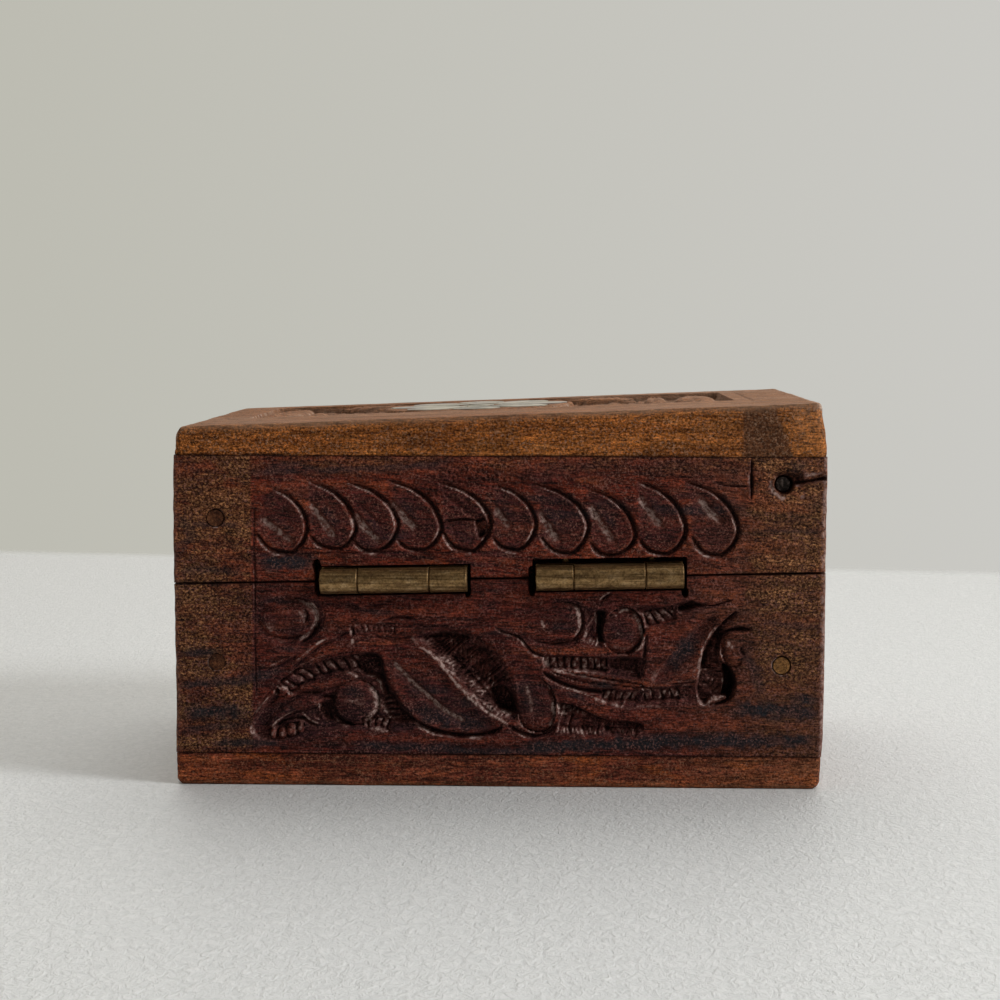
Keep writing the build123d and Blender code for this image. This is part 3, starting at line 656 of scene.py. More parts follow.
def rear_base_left(r):
    """The upper berry, the fine vine, the beaded stem and the berry it carries."""
    egg = oval((-36.4, 29), (5.1, 3.5), turn=4)
    r.form(egg, 1.3, shoulder=2.4, top=0.0, moat=1.6, lean=-20, even=0.35, closed=False, cut=0.25)
    r.line([(-33.6, 30.8), (-33.1, 29.4), (-33.6, 28.2)], 1.4, 0.9, ends=(0.8, 0.8), outer=0.35, cut=0.9)
    r.line([(-31.1, 28.8), (-31.7, 27), (-32.8, 25.6), (-34.7, 24.4)], 0.9, 0.8, outer=0.6, cut=1)
    # the vine's fine lines
    r.line([(-40.8, 19.8), (-38.2, 20.7), (-36.4, 21.7), (-34.6, 22.8)], 1.0, 0.5, outer=0.25, cut=0.8)
    r.line([(-36, 20.3), (-33.3, 22.3), (-31, 24.1), (-28.4, 25.4), (-26, 26.8)], 1.0, 0.5, outer=0.25,
           cut=0.8)
    r.ribs([(-24.6, 27.3), (-21.6, 27.4), (-17.6, 27)], 1.8, 0.95, 0.6, seed=5)
    r.line([(-25.5, 27.7), (-25.1, 26.8), (-25.3, 25.9)], 1.0, 0.7, ends=(0.4, 0.4), cut=0.9)
    r.line([(-21.5, 25.9), (-18, 25.5), (-14.8, 25.9)], 0.5, 0.4, cut=0.8)
    for line, width, depth in (
        ([(-19.6, 28.8), (-17.4, 29.3), (-14.4, 29.1)], 0.95, 0.7),
        ([(-14.6, 28.2), (-12, 27.8), (-8.6, 28)], 0.7, 0.45),
        ([(-23, 31.3), (-21.2, 31.4), (-19.4, 31.7)], 0.6, 0.5),
        ([(-26.7, 31.5), (-25.2, 31.2), (-23.6, 30.5)], 1.4, 0.7),
        ([(-30, 31.7), (-28.4, 31.5), (-26.8, 31.2)], 0.7, 0.4),
        ([(8, 25.2), (10, 24.7), (12.6, 24.8)], 0.5, 0.5),
    ):
        r.line(line, width, depth, ends=(1.2, 1.2), cut=1)
    # the beads, the smooth stem under them and the leaflet it ends in
    r.line([(-42.8, 11.6), (-40.8, 14.9), (-38.2, 17.7), (-35.2, 20), (-32, 21.6), (-29, 22.6),
            (-25, 23.4)], 0.6, 0.4, outer=0.25, cut=0.6)
    r.form([(-39, 14.2), (-36.4, 16.6), (-33.4, 17.6), (-29.6, 18.9), (-26.4, 19.8), (-24.4, 18.8),
            (-27, 17.4), (-30, 16.5), (-33, 16.1), (-36, 15)], 0.95, shoulder=0.8, top=0.1, cut=0.3)
    r.ribs([(-37.2, 16.8), (-34.4, 18.8), (-31, 20.2), (-27.8, 21), (-24.2, 21.4)], 3.0, 1.65, 1.15,
           slant=0.45, seed=4, worn=0.4)
    bud(r, (-37.7, 16.2), (1.2, 1.0), foot=0.8)
    r.sink([(-38.8, 16.6), (-38.2, 16.8), (-37.9, 16), (-38.4, 15.5), (-38.9, 15.9)], 1.3, wall=0.3)
    r.line([(-36.4, 15.8), (-33, 16.1), (-29.6, 15.7)], 1.3, 0.5, outer=0.5, ends=(1.5, 1.5), cut=0.7)
    r.form([(-40.6, 9.6), (-38.8, 12.4), (-36, 14.2), (-33, 15.2), (-30.4, 15.2), (-31.4, 13.8),
            (-33.6, 12.7), (-35.4, 12.5), (-37.2, 11.7), (-39, 10)], 0.95, shoulder=0.9, top=0.1, cut=0.5)
    r.line([(-38.9, 9.8), (-37.4, 10.9), (-35.4, 11.4), (-33.4, 11.2)], 1.0, 0.9, outer=0.5, cut=1)
    r.sink([(-39.6, 8.2), (-38.8, 9.9), (-36.8, 10.9), (-34, 11), (-33.4, 9.8), (-34.6, 8.4), (-37, 7.7)],
           1.2, wall=0.5, rough=0.1, seed=45)
    for place, radii in (((-36, 9.3), (0.95, 1.15)), ((-37.6, 8.7), (0.8, 1.0)), ((-39.2, 8.8), (0.6, 1.1)),
                         ((-34.4, 9.8), (0.6, 1.0))):
        bud(r, place, radii, foot=1.0)
        # a painted highlight on each small berry
        r.stroke("rub", [(place[0] - 0.2, place[1] + 0.5), (place[0] + 0.1, place[1] - 0.5)], 0.8, 0.7,
                 soft=0.3, ragged=0.6)
    r.sink([(-33.2, 13), (-31.6, 13.9), (-30.4, 12.8), (-30.6, 10.9), (-32, 11.2)], 1.2, wall=0.6, seed=46,
           rough=0.05)
    r.line([(-34.4, 11.9), (-33, 10.7), (-31.4, 9.9)], 0.8, 0.5, cut=0.8)
    # the berry
    bud(r, (-24.6, 14.2), (4.1, 4.1), foot=1.8, top=0.1, shoulder=3.4, lean=-15, even=0.4, cut=0.8)
    # painted shade: a dark band across the berry's upper half
    r.shade([(-28, 15.8), (-25.4, 16.1), (-22.2, 15.8)], 1.5, 1.0)
    r.line([(-28.6, 12.2), (-27.2, 10.9), (-25, 10.1)], 1.0, 0.9, cut=1)
    r.line([(-32, 14.6), (-30, 15.2), (-28, 15.1)], 1.0, 0.9, cut=1)
    r.ribs([(-23.7, 10.5), (-21, 10.8), (-18.6, 10.4)], 2.3, 1.2, 0.9, slant=-0.2, seed=6, worn=0.7)
    for k in range(5):
        v = 11 + 0.95 * k
        r.line([(-20.4, v), (-18.4, v + 0.1), (-15.6 - 0.5 * k, v)], 0.7, 0.45, ends=(0.5, 0.5), cut=1)
        # a painted highlight on the ridge above each cut
        r.stroke("rub", [(-20, v + 0.5), (-18.4, v + 0.6), (-16.6 - 0.4 * k, v + 0.5)], 0.35, 0.5,
                 ragged=0.8, soft=0.8)
    # painted shade down the berry's left side, into the ground
    r.stroke("grime", [(-27.8, 16.6), (-28.7, 14.8), (-28.2, 12.4), (-26.6, 10.9), (-24.6, 10.3)], 1.7, 0.8,
             soft=1.4)
    r.stroke("warm", [(-28.4, 16.9), (-25, 17.9), (-22.6, 17.6)], 1.7, 0.9, ragged=0.5)
    # pale strokes: painted highlights on rims, ridges and crowns facing the light, and wear on the upper
    # berry's lower left
    r.paint(
        "rub",
        ([(-34.5, 30.7), (-34.2, 29.2), (-34.4, 28)], 0.7, 0.7, 0.6, 0.5),
        ([(-33.8, 31.6), (-32.2, 31.3), (-31.4, 29.8), (-31.8, 27.9), (-33.1, 26.3), (-35, 24.9)], 0.95,
         1.0, 0.6),
        ([(-40.3, 28.4), (-39.6, 27.4), (-39, 26.4)], 1.8, 0.8, 0.6, 0.6),
        ([(-40.2, 20.5), (-38.3, 21.3), (-36.6, 22.2)], 0.45, 0.7, 0.8),
        ([(-35.6, 21.1), (-33.2, 23.1), (-31, 24.9), (-28.6, 26.1)], 0.5, 0.95, 0.7),
        ([(-25.3, 25.7), (-25.2, 25.1), (-25.3, 24.4)], 0.8, 0.9, 0.0, 0.3),
        ([(-35, 20.5), (-32, 22), (-29.4, 22.7)], 0.4, 0.6, 0.8),
        ([(-42.6, 11.9), (-41, 14), (-39.6, 15.6)], 0.5, 1.0, 0.5),
        ([(-38.7, 16.9), (-37.6, 16.9), (-36.9, 16.2)], 0.8, 0.8, 0.8, 0.4),
        ([(-39.8, 9.6), (-38.2, 11.2), (-36.6, 12.2), (-35.2, 12.7)], 0.45, 0.9, 0.6),
        ([(-34.3, 12.5), (-32.9, 11.2), (-31.2, 10.4)], 0.5, 0.95, 0.0, 0.4),
        ([(-32.2, 14.1), (-31.3, 13.7)], 0.5, 0.6, 0.0, 0.3),
        ([(-22.5, 17), (-21.3, 15.6), (-21, 13.8), (-21.8, 12.2), (-23.6, 11)], 1.5, 1.0, 0.5),
        ([(-27.4, 14.4), (-25.2, 14.6), (-22.8, 14.3)], 1.3, 0.7, 0.9),
        ([(-22.8, 8.9), (-20.6, 9.3), (-18.6, 9.3)], 0.5, 0.8, 0.8),
    )


def rear_base_middle(r):
    """The large slanting leaf, the rough hollow over it, and the tongue-shaped leaf."""
    r.hollow([(-20.2, 23), (-19.2, 19.6), (-18, 16.6), (-16.2, 13.8), (-13.9, 11.3), (-11.6, 9.8),
              (-8, 9.1), (-4, 8.9), (-1.5, 9.4), (0.6, 10.6), (-1.8, 12.2), (-4.2, 14.4), (-7.4, 18),
              (-10.6, 21.6), (-13.6, 24.2)], 0.4)
    r.tint([(-18.6, 20), (-17, 15.6), (-13.9, 11.3), (-10, 9.4), (-4, 8.9), (0.4, 10.6), (-4.2, 14.4),
            (-9, 19.4)], 1.0, 2.5)
    r.tint([(3.4, 17), (3.5, 12.6), (5, 10), (8, 9.6), (9.8, 12.2), (9.6, 16), (6.8, 19.2)], 1.0, 1.5)
    r.line([(-14.6, 11.2), (-11.8, 9.6), (-8, 8.8), (-4, 8.6), (-1.2, 9.1), (0.8, 10.2)], 1.3, 1.5,
           outer=0.55, ends=(2.4, 2.0), cut=1)
    r.line([(-18.4, 21.8), (-15.4, 18.8), (-12.6, 16.2), (-9.4, 13.4), (-5.6, 11.2)], 1.9, 0.6, outer=0.2,
           ends=(1.6, 2.0), cut=0.3)
    # flakes and scallops between the rim and the hollow's floor
    r.ribs([(-12, 25), (-8.4, 21.6), (-4.6, 17.6), (-0.8, 13.4)], 2.4, 0.7, 0.7, slant=-0.6, seed=12,
           worn=0.0)
    r.ribs([(-8.6, 25), (-4.6, 22), (-1.4, 18.4), (1.2, 15)], 2.6, 1.0, 0.5, slant=0.9, seed=9, worn=0.35)
    r.ribs([(-11.6, 26.4), (-8, 26.5), (-3.6, 25), (-0.4, 22.2), (2, 18.4)], 1.6, 0.8, 0.5, slant=0.4,
           seed=10, worn=0.3)
    # the tongue-shaped leaf
    r.form([(3.4, 17), (3.5, 12.6), (4.4, 10.2), (6.8, 9.2), (9, 9.9), (9.9, 12.2), (10, 14.8), (9, 17.4),
            (6.8, 19.2), (4.6, 19.2)], 1.5, shoulder=2.0, top=0.15, lean=-40, even=0.12, cut=0.6)
    r.line([(1.8, 10.6), (4, 9.3), (6.8, 8.7), (9, 9.5), (10.2, 11)], 1.0, 1.1, outer=0.4, ends=(1.2, 1.0),
           cut=1)
    # the vine's edge, up to the beads
    r.line([(-0.6, 27.8), (1.2, 26.8), (3.6, 26), (5, 24.5), (6.4, 23.2), (8.2, 22.6)], 0.7, 0.7, outer=0.35,
           ends=(1.0, 0.5), cut=1)
    # painted shade on the hollow's wall below the big leaf's rim
    r.stroke("grime", [(-13.4, 25.6), (-10.6, 23.6), (-7.4, 20.4), (-4, 16.6), (-1.4, 14.2), (0.8, 12.6)],
             2.1, 0.6, ragged=0.4)
    r.stroke("warm", [(-8.6, 24.6), (-5, 22.4), (-1.6, 19.6), (0, 17.6)], 3.0, 0.9, ragged=0.5)
    # pale strokes: painted highlights along the big leaf's rim, the flakes, the tongue leaf and the vine
    r.paint(
        "rub",
        ([(-18.3, 21.8), (-15.7, 18.8), (-12.9, 16.2), (-9.8, 13.5), (-7.2, 11.9), (-5.6, 11.1)], 1.15,
         0.95, 0.3),
        ([(-14, 24.6), (-11.4, 22.8), (-9.4, 20.6)], 0.75, 0.9, 0.9),
        ([(-10.4, 21.6), (-8, 18.8), (-5.4, 15.9), (-3, 13.6), (-0.6, 12.1), (1.2, 11.2)], 0.95, 1.0, 0.8),
        ([(-4.6, 16.2), (-2.6, 14.4), (-1, 13)], 0.4, 0.8, 0.8),
        ([(-15.2, 26), (-14.2, 25), (-13.2, 24.8)], 1.2, 0.6, 0.9, 0.5),
        ([(0.6, 11.4), (1.3, 11), (1.9, 10.6)], 0.7, 0.9, 0.0, 0.3),
        ([(2.9, 11.8), (3.7, 10.8), (4.9, 10)], 0.5, 0.7, 0.8, 0.6),
        ([(9.5, 15.2), (9.75, 13), (9.4, 11.3), (8.8, 10.2)], 1.0, 1.0, 0.7, 0.6),
        ([(4.8, 18.2), (5.3, 16.4), (5.8, 14.2), (6, 12.4)], 1.3, 0.65, 0.8),
        ([(8.5, 17.7), (9.3, 16.6), (9.9, 15.6)], 0.35, 0.6, 0.0, 0.3),
        ([(4.4, 24.4), (5.4, 23.2), (6.6, 22.6), (8, 21.9)], 0.7, 0.7, 0.7),
    )


def rear_base_right(r):
    """Two berries, three beaded stems, the right-hand leaf and the curl beyond it."""
    r.form([(4, 30.8), (8, 31.8), (11.6, 32), (13.9, 31.2), (14.5, 28.6), (14, 26.8), (12.8, 25.5),
            (10.4, 24.9), (7, 25.3), (4, 27)], 1.25, shoulder=1.8, top=0.0, moat=1.2, lean=-25, even=0.0,
           cut=0.25)
    r.shade([(7.8, 28.2), (10, 28), (13.4, 28)], 0.75, 1.0)
    r.line([(17.6, 32), (18.4, 33), (19.6, 33.8)], 0.9, 0.6, cut=0.8)
    bud(r, (21.6, 27.1), (3.6, 4.2), foot=1.7, shoulder=3.4, turn=-8, top=0.05, lean=-10, even=0.25, cut=0.6)
    r.tint([(19, 28.6), (22, 29.6), (24.2, 27.6), (23.4, 25.2), (20, 25.4)], 1.0, 0.8)
    r.punch([(19.6, 30.8), (20.6, 28.6), (23, 28.6), (24.2, 30), (22, 31.4)], 0.7, 0.3, seed=17)
    r.ribs([(25.2, 29.2), (27.4, 29.6), (30.4, 30.6)], 2.8, 1.5, 1.0, slant=0.5, seed=13, worn=0.7)
    r.line([(36, 31.6), (38, 31.9), (40.6, 32.8)], 0.5, 0.6, cut=1)
    # the upper beaded stem
    r.ribs([(8, 21.6), (10.5, 21.5), (14, 21.4), (18.8, 21.2)], 2.7, 1.22, 1.05, slant=0.1, seed=14, worn=0.9)
    r.ribs([(19.4, 21.2), (24, 21)], 2.4, 0.9, 0.3, slant=0.1, seed=19, worn=0.1)
    r.form([(8.6, 20.3), (12, 20), (16, 19.3), (20, 18.7), (24.6, 18), (24.8, 17.2), (20, 17.6), (15.4, 18),
            (11.6, 19)], 0.7, shoulder=0.6, top=0.05, cut=0.2)
    r.line([(7.6, 19.9), (10, 18.4), (13, 17.2), (16.8, 16.5), (20.4, 16.9)], 1.1, 1.1, outer=0.6,
           ends=(1.5, 3), cut=1)
    # the lower beaded stem
    r.ribs([(18, 15.9), (20.4, 15.8), (24, 15.9)], 2.3, 1.25, 0.9, slant=-0.2, seed=15, worn=0.8)
    r.ribs([(25.2, 16), (28, 16.1), (31.4, 16.4)], 2.6, 1.5, 1.0, slant=0.4, seed=16, worn=0.9)
    # the lowest pocket
    r.line([(10.4, 14.4), (14, 13.4), (16.6, 12.2), (19.4, 11.3), (24.4, 10.8), (25, 9.8)], 1.2, 1.2,
           outer=0.35, cut=1)
    r.ribs([(11, 12.4), (12.2, 13.2), (13.4, 12.8)], 1.8, 1.0, 0.7, seed=21, worn=0.8)
    r.ribs([(11, 9.8), (16, 9.5), (24, 9.5)], 1.6, 0.8, 0.45, slant=0.3, seed=22, worn=0.6)
    r.line([(18.4, 10.8), (19.2, 9.8), (19.2, 8.9)], 1.0, 0.9, cut=1)
    # the right-hand leaf
    r.hollow([(41, 31), (38.5, 29.2), (37.2, 27.6), (35.6, 24.8), (34.8, 21), (32, 18.6), (27, 17.8),
              (25.2, 19), (25.6, 23), (26, 27), (29, 28.8), (33, 30.6), (37, 31.2)], 0.3)
    r.line([(26.8, 18.4), (29.6, 21.2), (32.2, 24.4), (34.8, 27.4), (37.6, 30)], 3.4, 0.8, outer=0.35,
           ends=(2, 3), cut=0.5)
    # painted shade: the dark side of the leaf's broad groove
    r.shade([(28.4, 18.8), (31, 22), (33.4, 25.4), (35.4, 28.2)], 2.1, 1.0)
    r.line([(34.8, 20.4), (35.3, 22.4), (35.9, 24.4), (37.2, 26.8), (38.8, 28.8), (41, 30.8)], 1.2, 1.2,
           outer=0.15, ends=(1, 1), cut=1)
    for height, start, end in ((18.2, 29.5, 34.4), (17.5, 31, 34)):
        r.line([(start, height - 0.3), (end, height + 0.2)], 0.5, 0.4, cut=0.8)
        # a painted highlight along each fine ridge
        r.stroke("rub", [(start, height), (end, height + 0.5)], 0.35, 0.6, ragged=0.9)
    # the curl
    r.line([(43.7, 27.6), (41, 27.6), (39.2, 27.1), (38.2, 25.8), (37.9, 23.8)], 1.2, 1.2, outer=0.5,
           ends=(1.5, 0.8), cut=1)
    r.form([(39, 26.2), (41.2, 26.4), (42.8, 25), (42.4, 22.8), (41.6, 21.2), (40.2, 20.8), (39, 22),
            (38.5, 24)], 1.0, shoulder=2.2, top=0.0, lean=200, even=0.0, cut=0.2)
    r.line([(41.9, 24.6), (42, 23.8), (42.6, 22.9)], 0.8, 0.5, ends=(0.4, 0.4), cut=0.9)
    r.line([(38.5, 21.8), (39.9, 20), (40.3, 17.8), (39.9, 15.6)], 1.6, 1.2, outer=0.5, ends=(1.0, 0.6),
           cut=1)
    r.form([(35.8, 14.1), (36.6, 15.6), (38.8, 16), (39.6, 15.6), (38.2, 14.8)], 0.8, shoulder=0.5, top=0.0)
    r.line([(36.6, 14), (38.2, 14.5), (39.6, 15.2)], 0.6, 0.8, cut=1)
    r.ribs([(36.4, 25.6), (36, 23.4), (36.2, 21)], 1.8, 0.95, 0.5, slant=0.2, seed=23, worn=0.2)
    r.ribs([(36, 18.8), (37.4, 17.6), (38, 16.4)], 2.0, 0.8, 0.5, slant=0.3, seed=24, worn=0.3)
    # painted shade in the ground left of the berry at the top and along the curl's top cut
    r.paint(
        "grime",
        ([(18.4, 30.4), (17.8, 28.6), (17.6, 26.6), (18.2, 24.6)], 1.8, 0.9, 0.0, 1.0),
        ([(43.6, 27.5), (41, 27.5), (39.2, 27), (38.2, 25.8), (37.9, 23.8)], 0.9, 0.9),
    )
    r.stroke("warm", [(18.8, 25), (21.6, 24.8), (24, 24.6)], 2.2, 1.0, ragged=0.5)
    # pale strokes: painted highlights on rims, crowns and ridges facing the light
    r.paint(
        "rub",
        ([(13.7, 31.2), (14.1, 28.8), (13.9, 27.2), (12.9, 25.9)], 0.65, 1.0, 0.6, 0.8),
        ([(7.5, 29.2), (7.7, 28.4), (8.1, 27.6)], 0.8, 1.0, 0.4, 0.3),
        ([(8, 29.3), (10, 29.2), (12, 29.2)], 0.6, 0.35, 0.6),
        ([(17.4, 32.5), (18.4, 33.4), (19.4, 34)], 0.5, 0.8, 0.0, 0.3),
        ([(19.4, 24.7), (21.4, 24.1), (23.4, 24.4)], 1.3, 0.5, 0.8),
        ([(20.2, 29.4), (21, 30.4), (22.6, 31.2)], 1.0, 0.95, 1.0, 0.4),
        ([(20.4, 27), (21.4, 26.4)], 0.4, 0.7, 0.0, 0.2),
        ([(23.2, 30.2), (24.4, 28.4), (25, 26), (24.8, 24.6), (23.4, 23.5)], 0.7, 1.0, 0.6),
        ([(22.8, 31.7), (24, 31.6), (24.6, 31)], 0.8, 0.7, 0.9, 0.3),
        ([(8.3, 22.4), (8.5, 21.4), (8.8, 20.6)], 1.1, 1.0, 0.4, 0.3),
        ([(9.4, 20.1), (13, 19.6), (17, 18.8), (21, 18.1)], 0.6, 0.6, 0.9),
        ([(7.8, 19.2), (10.4, 17.7), (14, 16.5), (17, 15.4), (18, 14.9)], 0.4, 0.9, 0.6),
        ([(16.6, 15.6), (17.6, 15), (19, 14.5)], 0.9, 0.9, 0.6, 0.5),
        ([(19, 14.4), (22.4, 13.5), (25, 14), (29, 14.1)], 0.7, 0.6, 1.0),
        ([(34.5, 20.6), (34.9, 22.4), (35.3, 24.2), (36.5, 26.6), (37.8, 28.4)], 0.55, 1.0, 0.4),
        ([(26.4, 18.6), (27.8, 20.2), (29.2, 21.6)], 1.6, 0.4, 0.9),
        ([(33.4, 20.2), (34.2, 20.6), (34.6, 21.4)], 0.8, 0.8, 0.8, 0.3),
        ([(39.2, 25.2), (40, 24.8), (40.8, 24.2)], 1.7, 0.9, 0.7, 0.4),
        ([(36.1, 14), (36.8, 15.2), (38.6, 15.6)], 0.8, 1.0, 0.6, 0.3),
    )


def rear_base_figure(r):
    """Dark and bright streaks in this board's wood, and two bands of painted shade on the upper berry."""
    dark = [
        ([(3, 6.4), (14, 7), (24, 7.7), (36, 8), (56, 8.4)], 1.7, 1.0),
        ([(-14, 6.3), (0, 6), (12, 6.2)], 0.9, 0.8),
        ([(39, 13.4), (46, 13.6), (57, 12.8)], 2.0, 1.0),
        ([(49, 15.2), (53, 15.4), (57, 15.2)], 1.3, 1.0),
        ([(14.6, 17.4), (18, 17.8), (22, 17.5)], 0.8, 1.0),
        ([(-57, 17), (-52, 17.4), (-46, 18), (-40, 19.4), (-36, 20.6)], 1.2, 0.8),
        ([(-56, 12.2), (-48, 12.6), (-42, 12.8)], 2.0, 0.9),
        ([(-57, 22.6), (-52, 23), (-47, 23.4)], 1.0, 0.8),
        ([(-51, 6.8), (-44, 7.2), (-36, 6.9)], 1.1, 0.9),
        ([(-57, 9.2), (-50, 9.8), (-44, 10.2)], 0.9, 0.6),
        ([(-26, 7), (-16, 6.6), (-6, 7)], 1.1, 0.8),
        ([(-16.8, 16.6), (-11, 16.4), (-6.2, 16.2)], 0.9, 0.8),
        ([(-15.6, 13.6), (-10, 11.8), (-4, 10.8), (0, 10.4)], 2.2, 0.9),
        ([(-9, 14.8), (-5, 14.2), (-2, 13)], 1.2, 0.8),
        ([(3.4, 20.6), (5, 16), (8, 12)], 2.0, 0.6),
        ([(10, 17), (14, 15.6), (17, 14.4)], 0.8, 0.7),
        ([(-40, 23.8), (-36, 23.6), (-32, 24)], 0.9, 0.6),
        # the next two are painted shade, on the upper berry's lower half and along its top
        ([(-38.4, 27), (-36, 26.6), (-33.8, 26.9)], 0.8, 0.8),
        ([(-41.5, 32.4), (-38, 32.3), (-34.6, 32)], 0.9, 0.7),
        ([(-39, 12.4), (-36, 13.2), (-33, 13.8)], 1.3, 0.6),
        ([(-26, 30.8), (-22, 30.4), (-16, 30)], 0.7, 0.6),
        ([(4, 27.4), (0, 27), (-3.4, 26)], 0.8, 0.6),
        ([(44, 29), (50, 28.4), (57, 28)], 0.8, 0.5),
        ([(-49.2, 22.1), (-48.3, 22), (-47.4, 22)], 0.9, 0.9),
        ([(28, 19.6), (31, 19.6), (33, 19.4)], 0.7, 0.7),
        ([(41, 26), (43.4, 22), (45, 18), (46, 14.6)], 1.6, 0.5),
    ]
    bright = [
        ([(-40, 30.4), (-37, 29.6), (-34.6, 29)], 1.8, 0.9),
        ([(-42, 26), (-38, 25.6), (-35.6, 25.2)], 0.9, 0.6),
        ([(-36, 16.4), (-31, 17.4), (-26.6, 18.4)], 0.9, 0.9),
        ([(-31, 28.6), (-24, 29.2), (-14, 30.4), (-2, 30.6)], 1.5, 0.8),
        ([(-31, 26.4), (-27, 28), (-20, 28.6)], 0.9, 0.6),
        ([(-4, 33), (8, 33.4), (18, 34)], 1.2, 0.6),
        ([(-18, 20.4), (-14, 20.6), (-10, 20)], 1.0, 0.8),
        ([(-16.6, 19), (-12, 18.6), (-8, 18)], 0.7, 0.5),
        ([(-6, 23.4), (-3, 22.4), (0.4, 20.6)], 1.6, 0.7),
        ([(5, 23.4), (9, 24.2), (16, 23.8), (24, 23.6)], 0.9, 0.9),
        ([(22, 12.6), (27, 12.8), (31, 12.8)], 1.1, 0.9),
        ([(25, 10.6), (34, 10.8), (44, 10.9)], 1.2, 0.9),
        ([(26, 21.2), (31, 21), (34, 20.8)], 1.0, 0.8),
        ([(27, 27), (32, 27.4), (36, 27.8)], 1.4, 0.7),
        ([(33, 35), (42, 34.6), (50, 34.4)], 1.0, 0.5),
        ([(-56, 31), (-50, 30.4), (-44, 31)], 1.6, 0.6),
        ([(-48.6, 19.4), (-47.4, 19.2), (-46, 19.6)], 1.4, 0.9),
        ([(-30, 8), (-20, 8.2), (-10, 7.8), (2, 8)], 0.8, 0.7),
    ]
    figure(r, dark, bright)
    r.stroke("streak", [(2, 6.5), (14, 7.1), (24, 7.6), (36, 8), (50, 8.2)], 1.7, ragged=0.2, soft=5)
    r.stroke("streak", [(40, 13.3), (46, 13.6), (52, 13.2), (57, 12.8)], 2.0, 0.9, ragged=0.25, soft=3)


def leaf_outline(start, end, width, steps=13):
    """A leaf between its two tips, bounded by two arcs."""
    start, end = np.array(start, float), np.array(end, float)
    along = (end - start) / hypot(*(end - start))
    half = hypot(*(end - start)) / 2
    radius = (half**2 + (width / 2) ** 2) / width
    x = np.linspace(-half, half, steps)
    y = np.sqrt(radius**2 - x**2) - (radius - width / 2)
    across = np.array((-along[1], along[0]))
    one_side = (start + end) / 2 + np.outer(x, along) + np.outer(y, across)
    other = (start + end) / 2 + np.outer(x, along) - np.outer(y, across)
    return np.vstack([one_side, other[-2:0:-1]])


def standing_leaf(r, start, end, width, foot=carving_depth, ribbed=True):
    """A leaf left standing on sunk ground, with a fluted midrib and slanting side veins."""
    r.form(leaf_outline(start, end, width), foot, shoulder=0.28 * width, top=0.07, closed=False, cut=0.35)
    start, end = np.array(start, float), np.array(end, float)
    length = hypot(*(end - start))
    along = (end - start) / length
    across = np.array((-along[1], along[0]))
    middle = (start + end) / 2 + 0.06 * width * across
    r.line([start + 0.06 * (end - start), middle, end - 0.08 * (end - start)], min(1.5, 0.34 * width), 0.4,
           outer=0.4, cut=0.3)
    if ribbed and width > 3:
        for t in np.arange(2.0, length - 2.0, 1.7):
            reach = 0.42 * width * np.sqrt(max(1 - (2 * t / length - 1) ** 2, 0))
            foot_point = start + t * along
            for side in (-1, 1):
                tip = foot_point + along * 0.8 * reach + side * reach * across
                r.line([foot_point, (foot_point + tip) / 2, tip], 0.55, 0.16, ends=(0.3, 1.0), cut=0.3)


spray_start = 5.5
spray_leaves = [
    ((-0.5, 0.0), (22.0, -0.6), 1.8),
    ((6.5, 1.2), (11.6, 7.0), 3.8),
    ((14.0, 0.8), (21.2, 6.4), 3.8),
    ((8.5, -0.8), (15.6, -6.2), 3.8),
    ((17.0, -1.0), (24.4, -5.6), 3.6),
    ((21.5, -0.8), (34.4, -0.4), 6.4),
]
spray_berries = [((26.6, 4.7), 1.4), ((27.8, -4.6), 1.3), ((5.0, -4.0), 1.3)]


def spray_ground(r, seed=121):
    """The oval ground that a spray stands on."""
    ground = oval((17.0, 0), (18.2, 7.9), steps=48)
    r.sink(ground, carving_depth, wall=0.45, rough=0.10, seed=seed)
    r.punch(ground, 0.85, 0.30, seed=seed)


def berry_spray(r):
    """A leafy spray, drawn from its stem at the origin towards +u, about 36 by 16."""
    for start, end, width in spray_leaves:
        standing_leaf(r, start, end, width)
    for centre, radius in spray_berries:
        bud(r, centre, (radius, radius), foot=carving_depth)


def leaf_row(r, left, right, low, high, count):
    """A row of slanted leaves between two ends."""
    step = (right - left) / count
    for k in range(count):
        x = left + k * step
        tall = high - low
        sway = 0.35 * sin(2.1 * k)
        hook_leaf(
            r,
            (x + 0.3 + sway, high),
            (x + 1.1 * step, low + 0.38 * tall),
            (x + 0.68 * step, low),
            (x + 0.12 * step, low + 0.22 * tall),
            [(x + along * step, low + up * tall) for along, up in ((0.2, 0.68), (0.45, 0.42), (0.72, 0.2))],
        )


def carve_front_lid(r):
    """A row of ten slanted leaves, as on the rear."""
    leaf_row(r, -42.5, 41, 41.4, 53.4, 10)
    for x in (-43.6, 43.6):
        r.line([(x, 56.4), (x + 0.1, 48), (x, 36)], 0.5, 0.34, cut=1)
    layout_line(r, (-43.6, 39.8), (0, 39.9), (43.6, 39.7))
    r.punch([(-42, 54), (0, 54.4), (42, 54), (42, 56.6), (0, 56.8), (-42, 56.6)], 0.55, 0.15, seed=23)
    for x, height in zip((-nail_column, nail_column), front_lid_nail_heights):
        r.hole((x, height), plug_radius, plug_depth)
    streaks = ((50.5, -50, -10), (47, 0, 40), (55.5, 10, 50), (43, -30, 12))
    long_streaks(r.shade, streaks, -0.6, 0.4, 1.1, 0.6)


